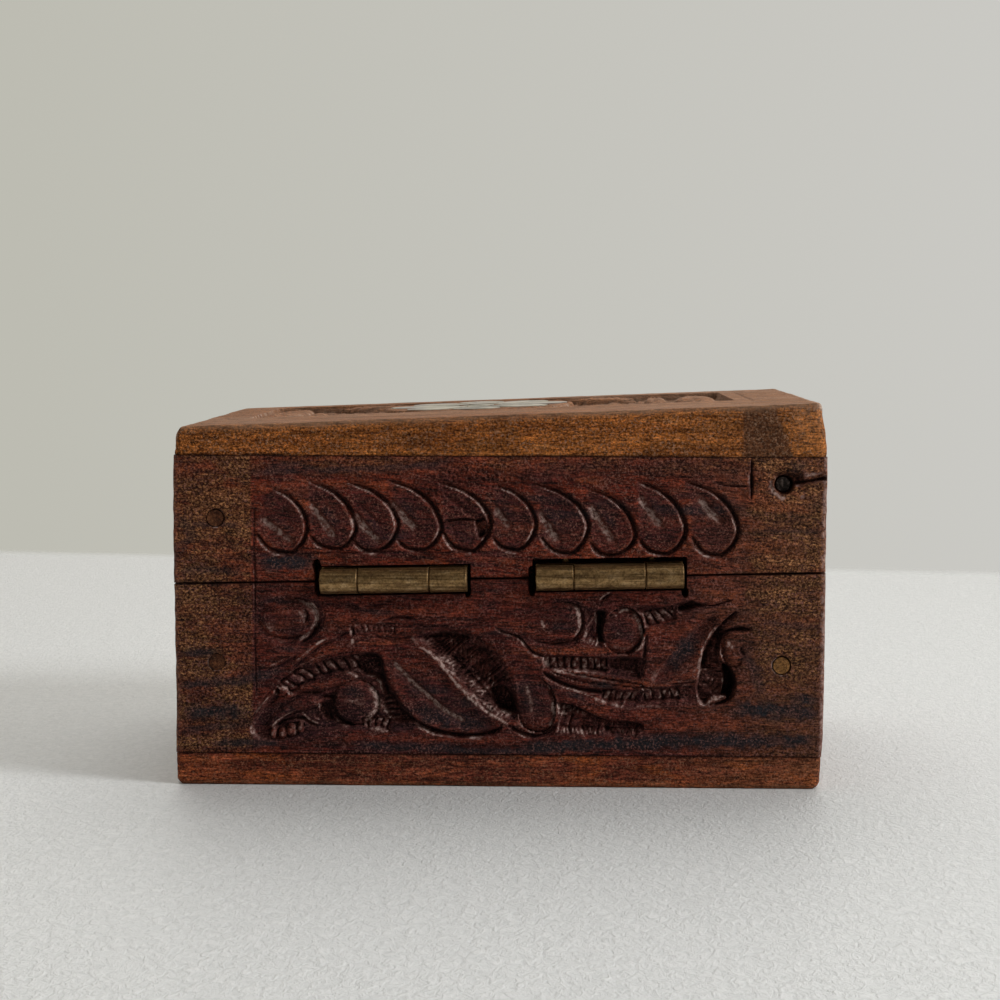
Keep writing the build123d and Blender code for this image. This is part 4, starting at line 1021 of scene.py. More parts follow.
def carve_front_base(r):
    """Two sprays with a flower between them."""
    sprays = r.moved((spray_start, flower_height)), r.moved((-spray_start, flower_height), mirror=True)
    for one in sprays:
        spray_ground(one)
    r.sink(oval((0, flower_height), (6.4, 6.4)), carving_depth, wall=0.45, rough=0.08, seed=131)
    for one in sprays:
        berry_spray(one)
    for k in range(8):
        petal = r.moved((0, flower_height), turn=45 * (k + 0.5))
        petal.form(leaf_outline((1.6, 0), (6.0, 0), 2.5), carving_depth, shoulder=0.8, closed=False)
        petal.line([(2.4, 0), (3.6, 0.1), (5.2, 0)], 0.8, 0.25, cut=0.3)
    bud(r, (0, flower_height), (2.0, 2.0), foot=carving_depth)
    for x in (-43.6, 43.6):
        r.line([(x, 34), (x + 0.1, 20), (x, 9.5)], 0.5, 0.34, cut=1)
    layout_line(r, (-43.6, 9.6), (0, 9.4), (43.6, 9.6))
    layout_line(r, (-43.6, 32.6), (0, 32.2), (43.6, 31.6))
    for x in (-nail_column, nail_column):
        r.hole((x, base_nail_height), plug_radius, plug_depth)
    streaks = ((8, -50, -4), (31, -20, 44), (14, 20, 56), (26, -57, -26))
    long_streaks(r.shade, streaks, 0.8, 0.3, 1.4, 0.7)


def carve_side_lid(r):
    """A row of five slanted leaves."""
    leaf_row(r, -19, 18.5, 41.6, 52.6, 5)
    layout_line(r, (-20.4, 39.8), (0, 39.9), (20.4, 39.8))
    long_streaks(r.shade, ((48, -26, 4), (44, 2, 26), (54.5, -12, 24)), 0.5, 0, 1.0, 0.6)


def carve_side_base(r):
    """One spray."""
    one = r.moved((-17, 20))
    spray_ground(one, seed=151)
    berry_spray(one)
    layout_line(r, (-20.4, 9.6), (0, 9.5), (20.4, 9.6))
    long_streaks(r.shade, ((8, -26, 8), (30, -6, 26), (17, -26, -12)), 0.6, 0, 1.2, 0.6)


rosette = (-5.0, 43.0)
petal_inner, petal_outer, petal_gap = 3.8, 16.8, 0.7
rosette_centre_radius = 2.8
rosette_round_radius = petal_outer + 1.4
inlay_depth = 1.25

panel_u, panel_v = (-46.0, 42.0), (23.5, 62.5)
panel_leaves = [
    ((-44.5, 27.5), (-39.0, 59.5), 7.5),
    ((-33.5, 26.5), (-17.5, 27.5), 4.5),
    ((-33.5, 59.6), (-17.5, 58.8), 4.5),
    ((28.0, 29.0), (29.3, 59.8), 4.4),
    ((36.0, 27.0), (36.3, 60.5), 8.0),
    ((11.5, 26.4), (25.5, 28.0), 4.4),
    ((11.5, 59.8), (25.5, 58.4), 4.4),
]
panel_berries = [((-34.5, 34.0), 2.0), ((20.5, 34.0), 1.8)]


def petal_outline(turn, spare):
    """A shell petal's place in the lid: a wedge with round ends."""
    spread = sin(pi / 8)
    inner = (petal_inner - petal_gap / 2) / (1 - spread)
    outer = (petal_outer + petal_gap / 2) / (1 + spread)
    points = []
    for middle, first, last in ((outer, -112.5, 112.5), (inner, 112.5, 247.5)):
        radius = middle * spread - petal_gap / 2 + spare
        for angle in np.radians(np.linspace(first, last, 13)):
            points.append((middle + radius * cos(angle), radius * sin(angle)))
    c, s = cos(radians(turn)), sin(radians(turn))
    return np.array([(rosette[0] + c * x - s * y, rosette[1] + s * x + c * y) for x, y in points])


def carve_lid_top(r):
    """A sunk panel of leaves round a raised disc with the shell rosette, inside a scribed border."""
    (left, right), (near, far) = panel_u, panel_v
    panel = [(left, near + 2), (left + 0.6, near + 0.6), (left + 2, near), ((left + right) / 2, near),
             (right - 2, near), (right - 0.6, near + 0.6), (right, near + 2), (right, far - 2),
             (right - 0.6, far - 0.6), (right - 2, far), ((left + right) / 2, far), (left + 2, far),
             (left + 0.6, far - 0.6), (left, far - 2)]
    r.sink(panel, carving_depth + 0.1, wall=0.4, rough=0.16, seed=141)
    r.punch(panel, 0.95, 0.25, seed=142)
    r.form(oval(rosette, (rosette_round_radius, rosette_round_radius), steps=72), carving_depth, shoulder=0.6,
           top=0.0, closed=False, cut=0.1)
    for start, end, width in panel_leaves:
        standing_leaf(r, start, end, width)
    for centre, radius in panel_berries:
        bud(r, centre, (radius, radius), foot=carving_depth)
    border = ((-50, 20.3), (45, 19.8), (45, 64.8), (-50, 65))
    for a, b in zip(border, border[1:] + border[:1]):
        r.line([a, b], 0.5, 0.35, curved=False, cut=1)
    for turn in range(0, 360, 45):
        outline = petal_outline(turn, 0.1)
        w = r.window(outline, 0.5)
        inside = within(r.u[w], r.v[w], outline)
        r.depth[w] = np.where(inside, inlay_depth, r.depth[w])
    r.hole(rosette, rosette_centre_radius + 0.1, inlay_depth, wall=0.05)
    long_streaks(r.shade, ((8, -56, 10), (14, -20, 50), (68, -40, 20)), 1.5, 0.6, 1.8, 0.5)
    long_streaks(r.glow, ((4, -40, 20), (11, 0, 56), (17, -56, -10)), 1.0, 0.6, 2.2, 0.7)
    # scratches from things set down on the lid
    for k in range(26):
        chance = np.random.default_rng(700 + k).uniform(-1, 1, 4)
        start = np.array((54 * chance[0], 35 + 33 * chance[1]))
        end = start + (9 * chance[2], 5 * chance[3])
        r.line([start, (start + end) / 2 + 0.3, end], 0.35, 0.08, cut=0.2)


# ---- Boards as meshes ------------------------------------------------------------------


def grid_lines(low, high, spacing, round_low=0.0, round_high=0.0, steps=()):
    """Even lines from low to high, closer at rounded ends, and a close pair at each step."""
    lines = list(np.linspace(low, high, round((high - low) / spacing) + 1))
    for k in range(1, 7):
        share = 1 - cos(k * pi / 12)
        lines += [low + round_low * share, high - round_high * share]
    for step in steps:
        lines = [x for x in lines if abs(x - step) > 0.06]
        lines += [step - 0.03, step + 0.03]
    lines = sorted(x for x in lines if low <= x <= high)
    kept = [lines[0]]
    for x in lines[1:]:
        if x - kept[-1] > 0.025:
            kept.append(x)
    kept[-1] = high
    return np.array(kept)


def worn_outline(co):
    """Takes the handled ends of the box in a little, as they show against the wall."""
    x, z = co[:, 0], co[:, 2]
    right_heights = (0, 1.2, 3, 5, 8, 14, 59, 61.8, 64.3, 66.5)
    right_worn = (1.0, 0.5, 0.42, 0.35, 0.12, 0, 0.05, 0.4, 0.9, 1.0)
    left_heights = (0, 1, 6, 12, 34, 37, 50, 57, 58.5, 62.2)
    left_worn = (0.4, 0.1, 0, 0.18, 0.13, 0, 0.1, 0.25, 0.45, 0.6)
    at_right, at_left = np.interp(z, right_heights, right_worn), np.interp(z, left_heights, left_worn)
    inset = np.where(x < 0, at_right, at_left)
    inset = inset + 0.05 * smooth_noise(co[:, 1], z, (5, 2.2), 401)
    inset = inset + 0.03 * smooth_noise(co[:, 1], z, (2, 0.8), 402)
    share = eased((np.abs(x) - 52) / 4)
    co[:, 0] = x - np.sign(x) * share * np.clip(inset, 0, None)


def board_mesh(name, u, v, relief, place, thickness, rings, sides=None, plan=None):
    """A closed board: the carved grid, sides pulled back from its border, and a flat back.

    sides, if given, shapes the points behind the border in the face's own axes and returns
    their layers, painted light among them. plan gives the middle, half sizes and radius for rounding the
    corners.
    """
    rows, columns = u.shape
    bm = bmesh.new()
    bmesh.ops.create_grid(bm, x_segments=columns - 1, y_segments=rows - 1, size=0.5)
    bm.verts.ensure_lookup_table()
    face_points = len(bm.verts)
    edges = [e for e in bm.edges if e.is_boundary]
    for _ in range(rings):
        made = bmesh.ops.extrude_edge_only(bm, edges=edges)["geom"]
        corners = [g for g in made if isinstance(g, bmesh.types.BMVert)]
        bmesh.ops.translate(bm, vec=(0, 0, -1), verts=corners)
        edges = [g for g in made if isinstance(g, bmesh.types.BMEdge) and g.is_boundary]
    bmesh.ops.edgeloop_fill(bm, edges=edges)
    bmesh.ops.recalc_face_normals(bm, faces=bm.faces)
    mesh = bpy.data.meshes.new(name)
    bm.to_mesh(mesh)
    bm.free()

    flat = np.empty(len(mesh.vertices) * 3)
    mesh.vertices.foreach_get("co", flat)
    flat = flat.reshape(-1, 3)
    i = np.rint((flat[:, 0] + 0.5) * (columns - 1)).astype(int)
    j = np.rint((flat[:, 1] + 0.5) * (rows - 1)).astype(int)
    back = np.clip(-flat[:, 2] / rings, 0, 1)
    depth = relief.depth[j, i]
    co = np.stack([u[j, i], v[j, i], -(depth + back * (thickness - depth))], 1)

    finish_and_light = {key: getattr(relief, key)[j, i] for key in finish_and_light_layers}
    # deep: painted shade, with soil, darkening the deeper cuts
    finish_and_light["deep"] = eased((relief.depth[j, i] - 0.9) / 1.8) * (relief.cut[j, i] > 0.2)
    behind = slice(face_points, None)
    for key in finish_and_light:
        finish_and_light[key][behind] = 0.0
    if sides:
        for key, values in sides(co[behind], back[behind]).items():
            finish_and_light[key][behind] = values
    if plan:
        round_plan(co, *plan)
    for key, values in finish_and_light.items():
        layer = mesh.attributes.new(key, "FLOAT", "POINT")
        layer.data.foreach_set("value", np.clip(values, 0, 1).astype(np.float32))

    co = place(co)
    worn_outline(co)
    mesh.vertices.foreach_set("co", (co * MM).ravel())
    mesh.update()
    mesh.polygons.foreach_set("use_smooth", np.ones(len(mesh.polygons), bool))
    mesh.set_sharp_from_angle(angle=radians(48))
    return mesh


def placing(origin, right, up, out):
    """The move from a face's own axes to the box's, both in millimetres."""
    axes = np.array([tuple(right), tuple(up), tuple(out)], float)
    return lambda co: co @ axes + np.array(tuple(origin), float)


def tapering(co):
    """Sets the flat lid board on the box: level below, and sloping down to the left on top."""
    x = -co[:, 0]
    surface = lid_surface(x)
    level = 2.6
    share = np.clip((-co[:, 2] - level) / (lid_board_thickness - level), 0, 1)
    spare = (surface - wall_top - lid_board_thickness) * share
    return np.stack([x, half_depth - co[:, 1], surface + co[:, 2] - spare], 1)


def round_plan(co, middle, half_sizes, radius):
    """Rounds a board's four upright corners."""
    a = np.abs(co[:, 0] - middle[0]) - (half_sizes[0] - radius)
    b = np.abs(co[:, 1] - middle[1]) - (half_sizes[1] - radius)
    near = (a > 0) & (b > 0)
    shrink = np.where(near, np.maximum(a, b) / np.maximum(np.hypot(a, b), 1e-9), 1.0)
    for axis, reach in ((0, a), (1, b)):
        from_middle = co[:, axis] - middle[axis]
        co[:, axis] -= np.where(near, np.sign(from_middle) * reach * (1 - shrink), 0)


def add_piece(name, mesh, body, nodes, material):
    """The finished piece, which rides on its body in place of the plain nodes."""
    piece = bpy.data.objects.new(name, mesh)
    bpy.context.scene.collection.objects.link(piece)
    mesh.materials.append(material)
    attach(piece, body)
    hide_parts(*nodes)
    return piece


def cut_hinge_beds(relief, from_rim, bed, gutter, lid):
    """The hinges' beds, the clearance round their knuckles, and the chisel's overcuts."""
    u, v = relief.u, relief.v
    for x, rise in zip((hinge_centres["right"], hinge_centres["left"]), notch_rise):
        inside = np.abs(u + x) < hinge_half + notch_side_gap
        relief.depth = np.where(inside & (from_rim < bed), leaf_reach, relief.depth)
        clear = inside & (from_rim >= bed) & (from_rim < gutter)
        relief.depth = np.where(clear, knuckle_radius + 0.1, relief.depth)
        above = inside & (from_rim >= bed) & (from_rim < bed + rise)
        if lid:
            relief.depth = np.where(above, 6.2, relief.depth)
        relief.cut = np.where(inside & (from_rim < gutter), 1.0, relief.cut)
    kerfs = [
        [(-31.9, 38.6), (-31.3, 39.5), (-30.6, 38.9), (-30.3, 36), (-30.4, 33.6), (-31, 33), (-31.5, 34.2),
         (-31.6, 36.6)],
        [(5.3, 38.2), (6.4, 38.4), (6.5, 36), (6.3, 33.6), (5.6, 33.3), (5.2, 34.4), (5.2, 36.4)],
        [(-5.6, 34.4), (-4.6, 34.4), (-4.8, 33.2), (-5.5, 33.0)],
        [(31.4, 34.6), (32.6, 34.6), (32.4, 33.4), (31.7, 33.2)],
    ]
    for outline in kerfs:
        relief.sink(outline, 4.5, wall=0.22, rough=0.0)


def wall_face(body, side, carve, material, facing, spacing, jointed, hinged):
    """One wall of the base or the lid, with its carved outer face.

    facing is (origin, right, up, out). A jointed face ends where other boards meet it, and
    the others end at the corners of the box.
    """
    node = f"{body}_{side}_wall"
    origin, right, up, out = (Vector(p) for p in facing)
    low, high = box_mm(node)
    along = 0 if abs(right.x) > 0.5 else 1
    flip = right[along] < 0
    left_end, right_end = (-high[along], -low[along]) if flip else (low[along], high[along])
    across = 1 - along
    thickness = high[across] - low[across]
    lid = body == "lid"
    radius = 0.0 if jointed else corner_radius * 0.8

    notch_ends = []
    if hinged:
        for x in hinge_centres.values():
            notch_ends += [-x - hinge_half - notch_side_gap, -x + hinge_half + notch_side_gap]
    columns = grid_lines(left_end, right_end, spacing, radius, radius, steps=notch_ends)

    def x_of(u):
        return (origin + right * u).x if along == 0 else origin.x

    fixed = wall_top if lid else floor_top
    rim = np.array([seam(x_of(u)) + (seam_gap / 2 if lid else -seam_gap / 2) for u in columns])
    height = np.abs(fixed - rim)
    middle = height.mean()
    bed = knuckle_radius - seam_gap / 2
    gutter = bed + 0.4
    steps = [bed, gutter] if hinged else []
    if hinged and lid:
        steps += [bed + rise for rise in notch_rise]
    offsets = grid_lines(0, middle, spacing, 0.4, 0.3, steps=steps)
    share = (offsets / middle) ** 3
    reach = offsets[:, None] + (height - middle)[None, :] * share[:, None]
    v = rim[None, :] + reach if lid else rim[None, :] - reach
    u = np.repeat(columns[None, :], len(offsets), axis=0)
    if not lid:
        u, v, reach = u[::-1], v[::-1], reach[::-1]

    relief = Relief(u, v)
    carve(relief)
    warp, tool = smooth_noise(u, v, (9, 4), 91), smooth_noise(u, v, (1.6, 0.7), 92)
    relief.depth += 0.045 * (1 + warp) + 0.02 * (1 + tool)

    right_edge = 43.0 + 1.4 * smooth_noise(u, v, (3, 2), 47)
    margin = np.where(u > 0, eased((u - right_edge) / 1.6), eased((-42.2 - u) / 0.5))
    margin *= 1 - 0.75 * eased((21 - v) / 5) * (u > 0)
    relief.plain = margin * (0.0 if along else 1.0)
    relief.plain = np.maximum(relief.plain, 0.55 * eased((v - 53) / 2.5))
    relief.settle()
    from_rim, from_board = reach, np.abs(v - fixed)
    relief.arris(from_rim, 0.30, 93, uneven=0.5, dirt=0.8)
    relief.arris(from_board, 0.18, 94, uneven=0.7, dirt=1.0)
    for end, seed in ((left_end, 95), (right_end, 97)):
        if jointed:
            relief.arris(np.abs(u - end), 0.2, seed, uneven=0.6, dirt=1.0)
        else:
            relief.arris(np.abs(u - end), radius, seed, uneven=0.2, rub=0.35 + 0.3 * (end > 0))

    if hinged:
        cut_hinge_beds(relief, from_rim, bed, gutter, lid)

    def sides(co, back):
        return {"plain": np.full(len(co), 0.4)}

    name = f"{side}_{body}_carving"
    mesh = board_mesh(name, u, v, relief, placing(origin, right, up, out), thickness, 5, sides)
    return add_piece(name, mesh, body, [node], material)


# ---- Materials -------------------------------------------------------------------------


def colour(code):
    """A colour from its hexadecimal code, made linear."""
    parts = [int(code[k:k + 2], 16) / 255 for k in (0, 2, 4)]
    return [p / 12.92 if p <= 0.04045 else ((p + 0.055) / 1.055) ** 2.4 for p in parts] + [1.0]


class Finish:
    """A material and short ways to add its nodes."""

    def __init__(self, name):
        self.material = bpy.data.materials.new(name)
        self.material.use_nodes = True
        self.tree = self.material.node_tree
        self.shader = self.tree.nodes["Principled BSDF"]
        self.place = self.add("ShaderNodeTexCoord").outputs["Object"]
        self.tilt = 0.0

    def add(self, kind, inputs=None, **settings):
        node = self.tree.nodes.new(kind)
        for key, value in settings.items():
            setattr(node, key, value)
        for key, value in (inputs or {}).items():
            self.put(node.inputs[key], value)
        return node

    def put(self, socket, value):
        if isinstance(value, bpy.types.NodeSocket):
            self.tree.links.new(value, socket)
        else:
            socket.default_value = value

    def scaled(self, scale, offset=(0, 0, 0)):
        """Object coordinates in units of the given millimetres' inverse."""
        inputs = {"Vector": self.place, "Scale": [s / MM for s in scale], "Location": offset}
        if self.tilt:
            turn = {"Vector": self.place, "Rotation": (0, radians(self.tilt), 0)}
            inputs["Vector"] = self.add("ShaderNodeMapping", turn).outputs[0]
        return self.add("ShaderNodeMapping", inputs).outputs[0]

    def noise(self, scale, detail=3.0, roughness=0.5, distortion=0.0, offset=(0, 0, 0)):
        inputs = {"Vector": self.scaled(scale, offset), "Scale": 1.0, "Detail": detail,
                  "Roughness": roughness, "Distortion": distortion}
        return self.add("ShaderNodeTexNoise", inputs).outputs["Fac"]

    def attribute(self, name):
        return self.add("ShaderNodeAttribute", attribute_name=name).outputs["Fac"]

    def ramp(self, factor, *stops):
        """A colour that follows a value, from (place, colour code) stops."""
        node = self.add("ShaderNodeValToRGB", {"Fac": factor})
        elements = node.color_ramp.elements
        while len(elements) < len(stops):
            elements.new(0.5)
        for element, (position, code) in zip(elements, stops):
            element.position = position
            element.color = colour(code)
        return node.outputs["Color"]

    def between(self, value, low, high):
        """0 below low, 1 above high, smooth between."""
        node = self.add("ShaderNodeMapRange", {"Value": value, "From Min": low, "From Max": high},
                        interpolation_type="SMOOTHSTEP")
        return node.outputs["Result"]

    def span(self, value, low, high):
        """A value from 0 to 1, spread from low to high."""
        node = self.add("ShaderNodeMapRange", {"Value": value, "To Min": low, "To Max": high})
        return node.outputs["Result"]

    def toned(self, base, value, least, most):
        """A colour made darker and lighter by a noise, from least to most times as bright."""
        span = {"Value": value, "From Min": 0.37, "From Max": 0.63, "To Min": least, "To Max": most}
        amount = self.add("ShaderNodeMapRange", span).outputs["Result"]
        node = self.add("ShaderNodeVectorMath", {"Vector": base, "Scale": amount}, operation="SCALE")
        return node.outputs["Vector"]

    def math(self, operation, a, b=0.0):
        node = self.add("ShaderNodeMath", operation=operation)
        self.put(node.inputs[0], a)
        self.put(node.inputs[1], b)
        return node.outputs[0]

    def mix(self, factor, a, b, blend="MIX"):
        node = self.add("ShaderNodeMix", data_type="RGBA", blend_type=blend, clamp_result=True)
        self.put(node.inputs[0], factor)
        self.put(node.inputs[6], colour(a) if isinstance(a, str) else a)
        self.put(node.inputs[7], colour(b) if isinstance(b, str) else b)
        return node.outputs[2]

    def laid(self, base, code, value, amount=1.0):
        """A colour laid over another, as much as a value times an amount says."""
        return self.mix(self.math("MULTIPLY", value, amount), base, code)

    def patched(self, base, code, value, low, high, amount):
        """A colour laid over another where a value goes from low to high."""
        return self.laid(base, code, self.between(value, low, high), amount)

    def bump(self, height, distance, strength=1.0, under=None):
        inputs = {"Height": height, "Distance": distance * MM, "Strength": strength}
        if under is not None:
            inputs["Normal"] = under
        return self.add("ShaderNodeBump", inputs).outputs["Normal"]

    def done(self, base, roughness, normal, **sockets):
        self.put(self.shader.inputs["Base Color"], base)
        self.put(self.shader.inputs["Roughness"], roughness)
        self.put(self.shader.inputs["Normal"], normal)
        for key, value in sockets.items():
            self.put(self.shader.inputs[key.replace("_", " ")], value)
        return self.material


class Wood(Finish):
    """Oiled rosewood whose grain runs along one axis (0 is X, 1 is Y)."""

    def __init__(self, name, along, tones, drift=(0, 0, 0), tilt=0.0, speckled=0.45, gloss=(0.5, 0.8)):
        super().__init__(name)
        self.along, self.tones, self.drift, self.tilt = along, tones, drift, tilt
        self.medium = self.grain(0.10, 0.70, 5, 0.7, 0.9, offset=drift)
        self.narrow = self.grain(0.06, 1.3, 5, 0.66, 0.8, offset=drift)
        self.fibre = self.grain(0.5, 3.0, 4, 0.75)
        pores = self.grain(0.5, 3.4, 2, 0.6, offset=(3.1, 9.2, 1.7))
        self.pore = self.between(pores, 0.575, 0.65)
        self.stipple = self.noise((2.2, 2.8, 2.8), 3, 0.8, 0.3)
        self.dust = self.noise((2.7, 2.7, 2.7), 3, 0.75, offset=(5, 5, 5))
        self.plain, self.grime = self.attribute("plain"), self.attribute("grime")
        self.streak = self.attribute("streak")

        base = self.margins(self.figured(), speckled)
        base = self.dusted(self.fine_grain(self.soiled(base)))
        rough = self.math("ADD", self.span(self.stipple, *gloss), self.math("MULTIPLY", self.grime, 0.2))
        self.done(self.rubbed(base), rough, self.surface(), Specular_IOR_Level=0.08)

    def grain(self, along_scale, across_scale, *settings, offset=(0, 0, 0)):
        """Noise drawn out along the grain."""
        scale = [along_scale if axis == self.along else across_scale for axis in range(3)]
        return self.noise(scale, *settings, offset=offset)

    def figured(self):
        """The board's own colour: broad figure, clouds, dark and pale lines, and painted light: a paler end
        towards the window lamp.
        """
        tones = self.tones
        broad = self.grain(0.022, 0.17, 4, 0.6, 1.1, offset=self.drift)
        base = self.toned(self.ramp(broad, *tones["figure"]), self.medium, 0.56, 1.44)
        cloud = self.noise((0.09, 0.20, 0.20), 4, 0.6, 0.5, offset=(4.2, 8.8, 6.1))
        base = self.patched(base, tones["grey_cloud"], cloud, 0.52, 0.66, 0.40)
        base = self.patched(base, tones["warm_cloud"], cloud, 0.46, 0.34, 0.50)
        base = self.patched(base, tones["dark_line"], self.narrow, 0.54, 0.63, 0.75)
        pale = self.grain(0.10, 1.2, 4, 0.66, 0.6, offset=(7.3, 2.1, 4.4))
        base = self.patched(base, tones["pale_line"], pale, 0.55, 0.70, 0.40)
        glow = self.span(self.medium, 1.0, 0.2)
        base = self.laid(base, tones["warm_cloud"], self.attribute("warm"), glow)
        # painted light: the end at -x, on the window lamp's side, is laid paler
        x = self.add("ShaderNodeSeparateXYZ", {"Vector": self.place}).outputs["X"]
        return self.laid(base, tones["brown"][2], self.between(x, -0.022, -0.058), 0.22)

    def margins(self, base, speckled):
        """Plain wood beside the carving, speckled brown, and the drawn dark streaks of the figure and of
        painted shade.
        """
        patches = self.between(self.noise((0.13, 0.30, 0.30), 5, 0.66), 0.42, 0.58)
        speckle = self.ramp(self.stipple, *zip((0.36, 0.50, 0.66), self.tones["brown"]))
        speckle = self.toned(speckle, self.medium, 0.62, 1.38)
        where = self.math("MULTIPLY", self.plain, self.span(patches, 0.30, 1.0))
        base = self.laid(base, speckle, where, speckled)
        return self.laid(base, self.tones["drawn"], self.streak, self.span(self.medium, 0.6, 1.3))

    def soiled(self, base):
        """Cut wood, and a near-black laid in the hollows, the deep cuts and the dark strokes: painted shade,
        with soil.
        """
        base = self.laid(base, self.tones["cut"], self.attribute("cut"), 0.60)
        base = self.laid(base, self.tones["dirt"], self.attribute("deep"), 0.60)
        return self.laid(base, self.tones["dirt"], self.grime, 0.88)

    def fine_grain(self, base):
        """Fibres, which are short grit on plain wood, and open pores."""
        gritty = self.math("MULTIPLY", self.plain, 0.7)
        drawn_out = self.math("MULTIPLY", self.fibre, self.math("SUBTRACT", 1.0, gritty))
        grit = self.math("MULTIPLY", self.stipple, gritty)
        base = self.toned(base, self.math("ADD", drawn_out, grit), 0.32, 1.70)
        base = self.toned(base, self.stipple, 0.30, 1.76)
        base = self.laid(base, self.tones["dark_line"], self.pore, 0.85)
        return self.laid(base, self.tones["drawn"], self.streak, 0.30)

    def dusted(self, base):
        """A dusty layer with painted sheen where the lid lies open to light, and painted glints on fibres
        elsewhere.
        """
        drifts = self.noise((0.30, 0.45, 0.45), 4, 0.6, offset=(1, 3, 2))
        drifted = self.span(self.between(drifts, 0.34, 0.68), 0.18, 0.58)
        # painted glints: pale specks in the sheen colour, fewer where shade and soil lie
        lit = self.math("MULTIPLY", self.between(self.dust, 0.50, 0.66), drifted)
        clean_and_unshaded = self.math("SUBTRACT", 1.0, self.math("MULTIPLY", self.grime, 0.7))
        lit = self.math("MULTIPLY", lit, clean_and_unshaded)
        film = self.attribute("film")
        dust_and_sheen_tone = self.toned(colour("a4836c")[:3], self.fibre, 0.70, 1.3)
        dust_and_sheen_tone = self.toned(dust_and_sheen_tone, self.narrow, 0.62, 1.38)
        base = self.laid(base, dust_and_sheen_tone, film, self.span(self.medium, 0.45, 1.1))
        lit = self.math("MULTIPLY", lit, self.math("SUBTRACT", 1.0, film))
        return self.mix(lit, base, self.tones["sheen"])

    def rubbed(self, base):
        """Pale wood on edges that hands have abraded, and painted highlights on rims and slopes facing the
        light.
        """
        wear = self.between(self.noise((1.5, 1.5, 1.5), 4, 0.75), 0.38, 0.60)
        worn = self.math("MULTIPLY", self.attribute("rub"), self.span(wear, 0.3, 1.0))
        return self.laid(base, self.ramp(worn, *zip((0.15, 0.75), self.tones["worn"])), worn, 0.92)

    def surface(self):
        """Raised fibres, sunk pores and grit."""
        normal = self.bump(self.fibre, 0.12, 0.8)
        normal = self.bump(self.pore, -0.10, 0.8, normal)
        coarse = self.math("ADD", self.math("MULTIPLY", self.plain, 0.4), 0.8)
        return self.bump(self.math("MULTIPLY", self.dust, coarse), 0.34, 0.9, normal)


# pale colours for wear and for painted highlights
worn_and_lit_wood = ("8c5448", "ccaea4")
margin_brown = ("36200f", "5d3b22", "876340")
heart = {
    "figure": ((0.30, "280f0e"), (0.41, "4c1c13"), (0.50, "6b2b1b"), (0.58, "481a15"), (0.68, "824024")),
    "dark_line": "150a0a", "pale_line": "9c5a45", "grey_cloud": "382228", "warm_cloud": "884026",
    "drawn": "252429", "cut": "341a1c", "sheen": "ae7666",
    "worn": worn_and_lit_wood, "dirt": "120605", "brown": margin_brown,
}
low_heart = {
    "figure": ((0.30, "1e0c0d"), (0.41, "401813"), (0.50, "5b261c"), (0.58, "3b1614"), (0.68, "743723")),
    "dark_line": "120909", "pale_line": "8c4e40", "grey_cloud": "302026", "warm_cloud": "7c3926",
    "drawn": "222327", "cut": "2c191d", "sheen": "a87268",
    "worn": worn_and_lit_wood, "dirt": "120605", "brown": margin_brown,
}
sap = {
    "figure": ((0.30, "66330f"), (0.44, "854a1e"), (0.56, "9c5c29"), (0.70, "784216")),
    "dark_line": "55290d", "pale_line": "b98350", "grey_cloud": "6c4420", "warm_cloud": "a8652f",
    "drawn": "4a3022", "cut": "5a2c16", "sheen": "c49a7c",
    "worn": ("a8866c", "d6bfae"), "dirt": "1e0d06", "brown": ("5a3214", "7b4520", "9f6638"),
}
foot = {
    "figure": ((0.30, "4f2218"), (0.42, "703526"), (0.56, "8e4828"), (0.70, "663020")),
    "dark_line": "32130e", "pale_line": "b86f4a", "grey_cloud": "62342a", "warm_cloud": "a35322",
    "drawn": "241419", "cut": "4a1c12", "sheen": "bd8466",
    "worn": ("96643e", "d4ae92"), "dirt": "150806", "brown": ("3e2412", "6c4424", "a06c42"),
}

base_wood = Wood("rosewood_base", 0, low_heart, speckled=0.75).material
rim_wood = Wood("rosewood_lid", 0, heart, (8, 6, 3), tilt=3.5, speckled=0.75).material
side_wood = Wood("rosewood_crosswise", 1, low_heart, (3, 5, 9)).material
lid_wood = Wood("lid_board_wood", 0, sap, (11, 4, 2), gloss=(0.6, 0.85)).material
foot_wood = Wood("bottom_board_wood", 0, foot, (6, 1, 8), speckled=0.3).material


def aged_brass():
    """Brass with dark drawn lines and spots."""
    f = Finish("aged_brass")
    lines = f.noise((0.07, 2.6, 2.6), 4, 0.65)
    cloud = f.noise((0.5, 0.9, 0.9), 4, 0.6)
    spots = f.noise((2.4, 2.4, 2.4), 3, 0.6, offset=(2, 7, 1))
    base = f.ramp(cloud, (0.30, "74593a"), (0.5, "9c7c52"), (0.68, "b6966c"))
    base = f.patched(base, "4c3824", lines, 0.46, 0.60, 0.65)
    base = f.toned(base, spots, 0.6, 1.35)
    base = f.patched(base, "3a281a", spots, 0.60, 0.70, 0.6)
    rough = f.span(cloud, 0.58, 0.32)
    normal = f.bump(lines, 0.03, 0.6)
    normal = f.bump(spots, -0.03, 0.4, normal)
    return f.done(base, rough, normal, Metallic=0.9)


def dark_iron():
    """Nail heads, mottled with rust."""
    f = Finish("dark_iron")
    rust = f.noise((1.6, 1.6, 1.6), 4, 0.7)
    base = f.ramp(rust, (0.36, "161210"), (0.48, "332a26"), (0.56, "5a4c46"), (0.66, "8a7c74"))
    return f.done(base, f.span(rust, 0.45, 0.85), f.bump(rust, 0.12, 0.7), Metallic=0.7)


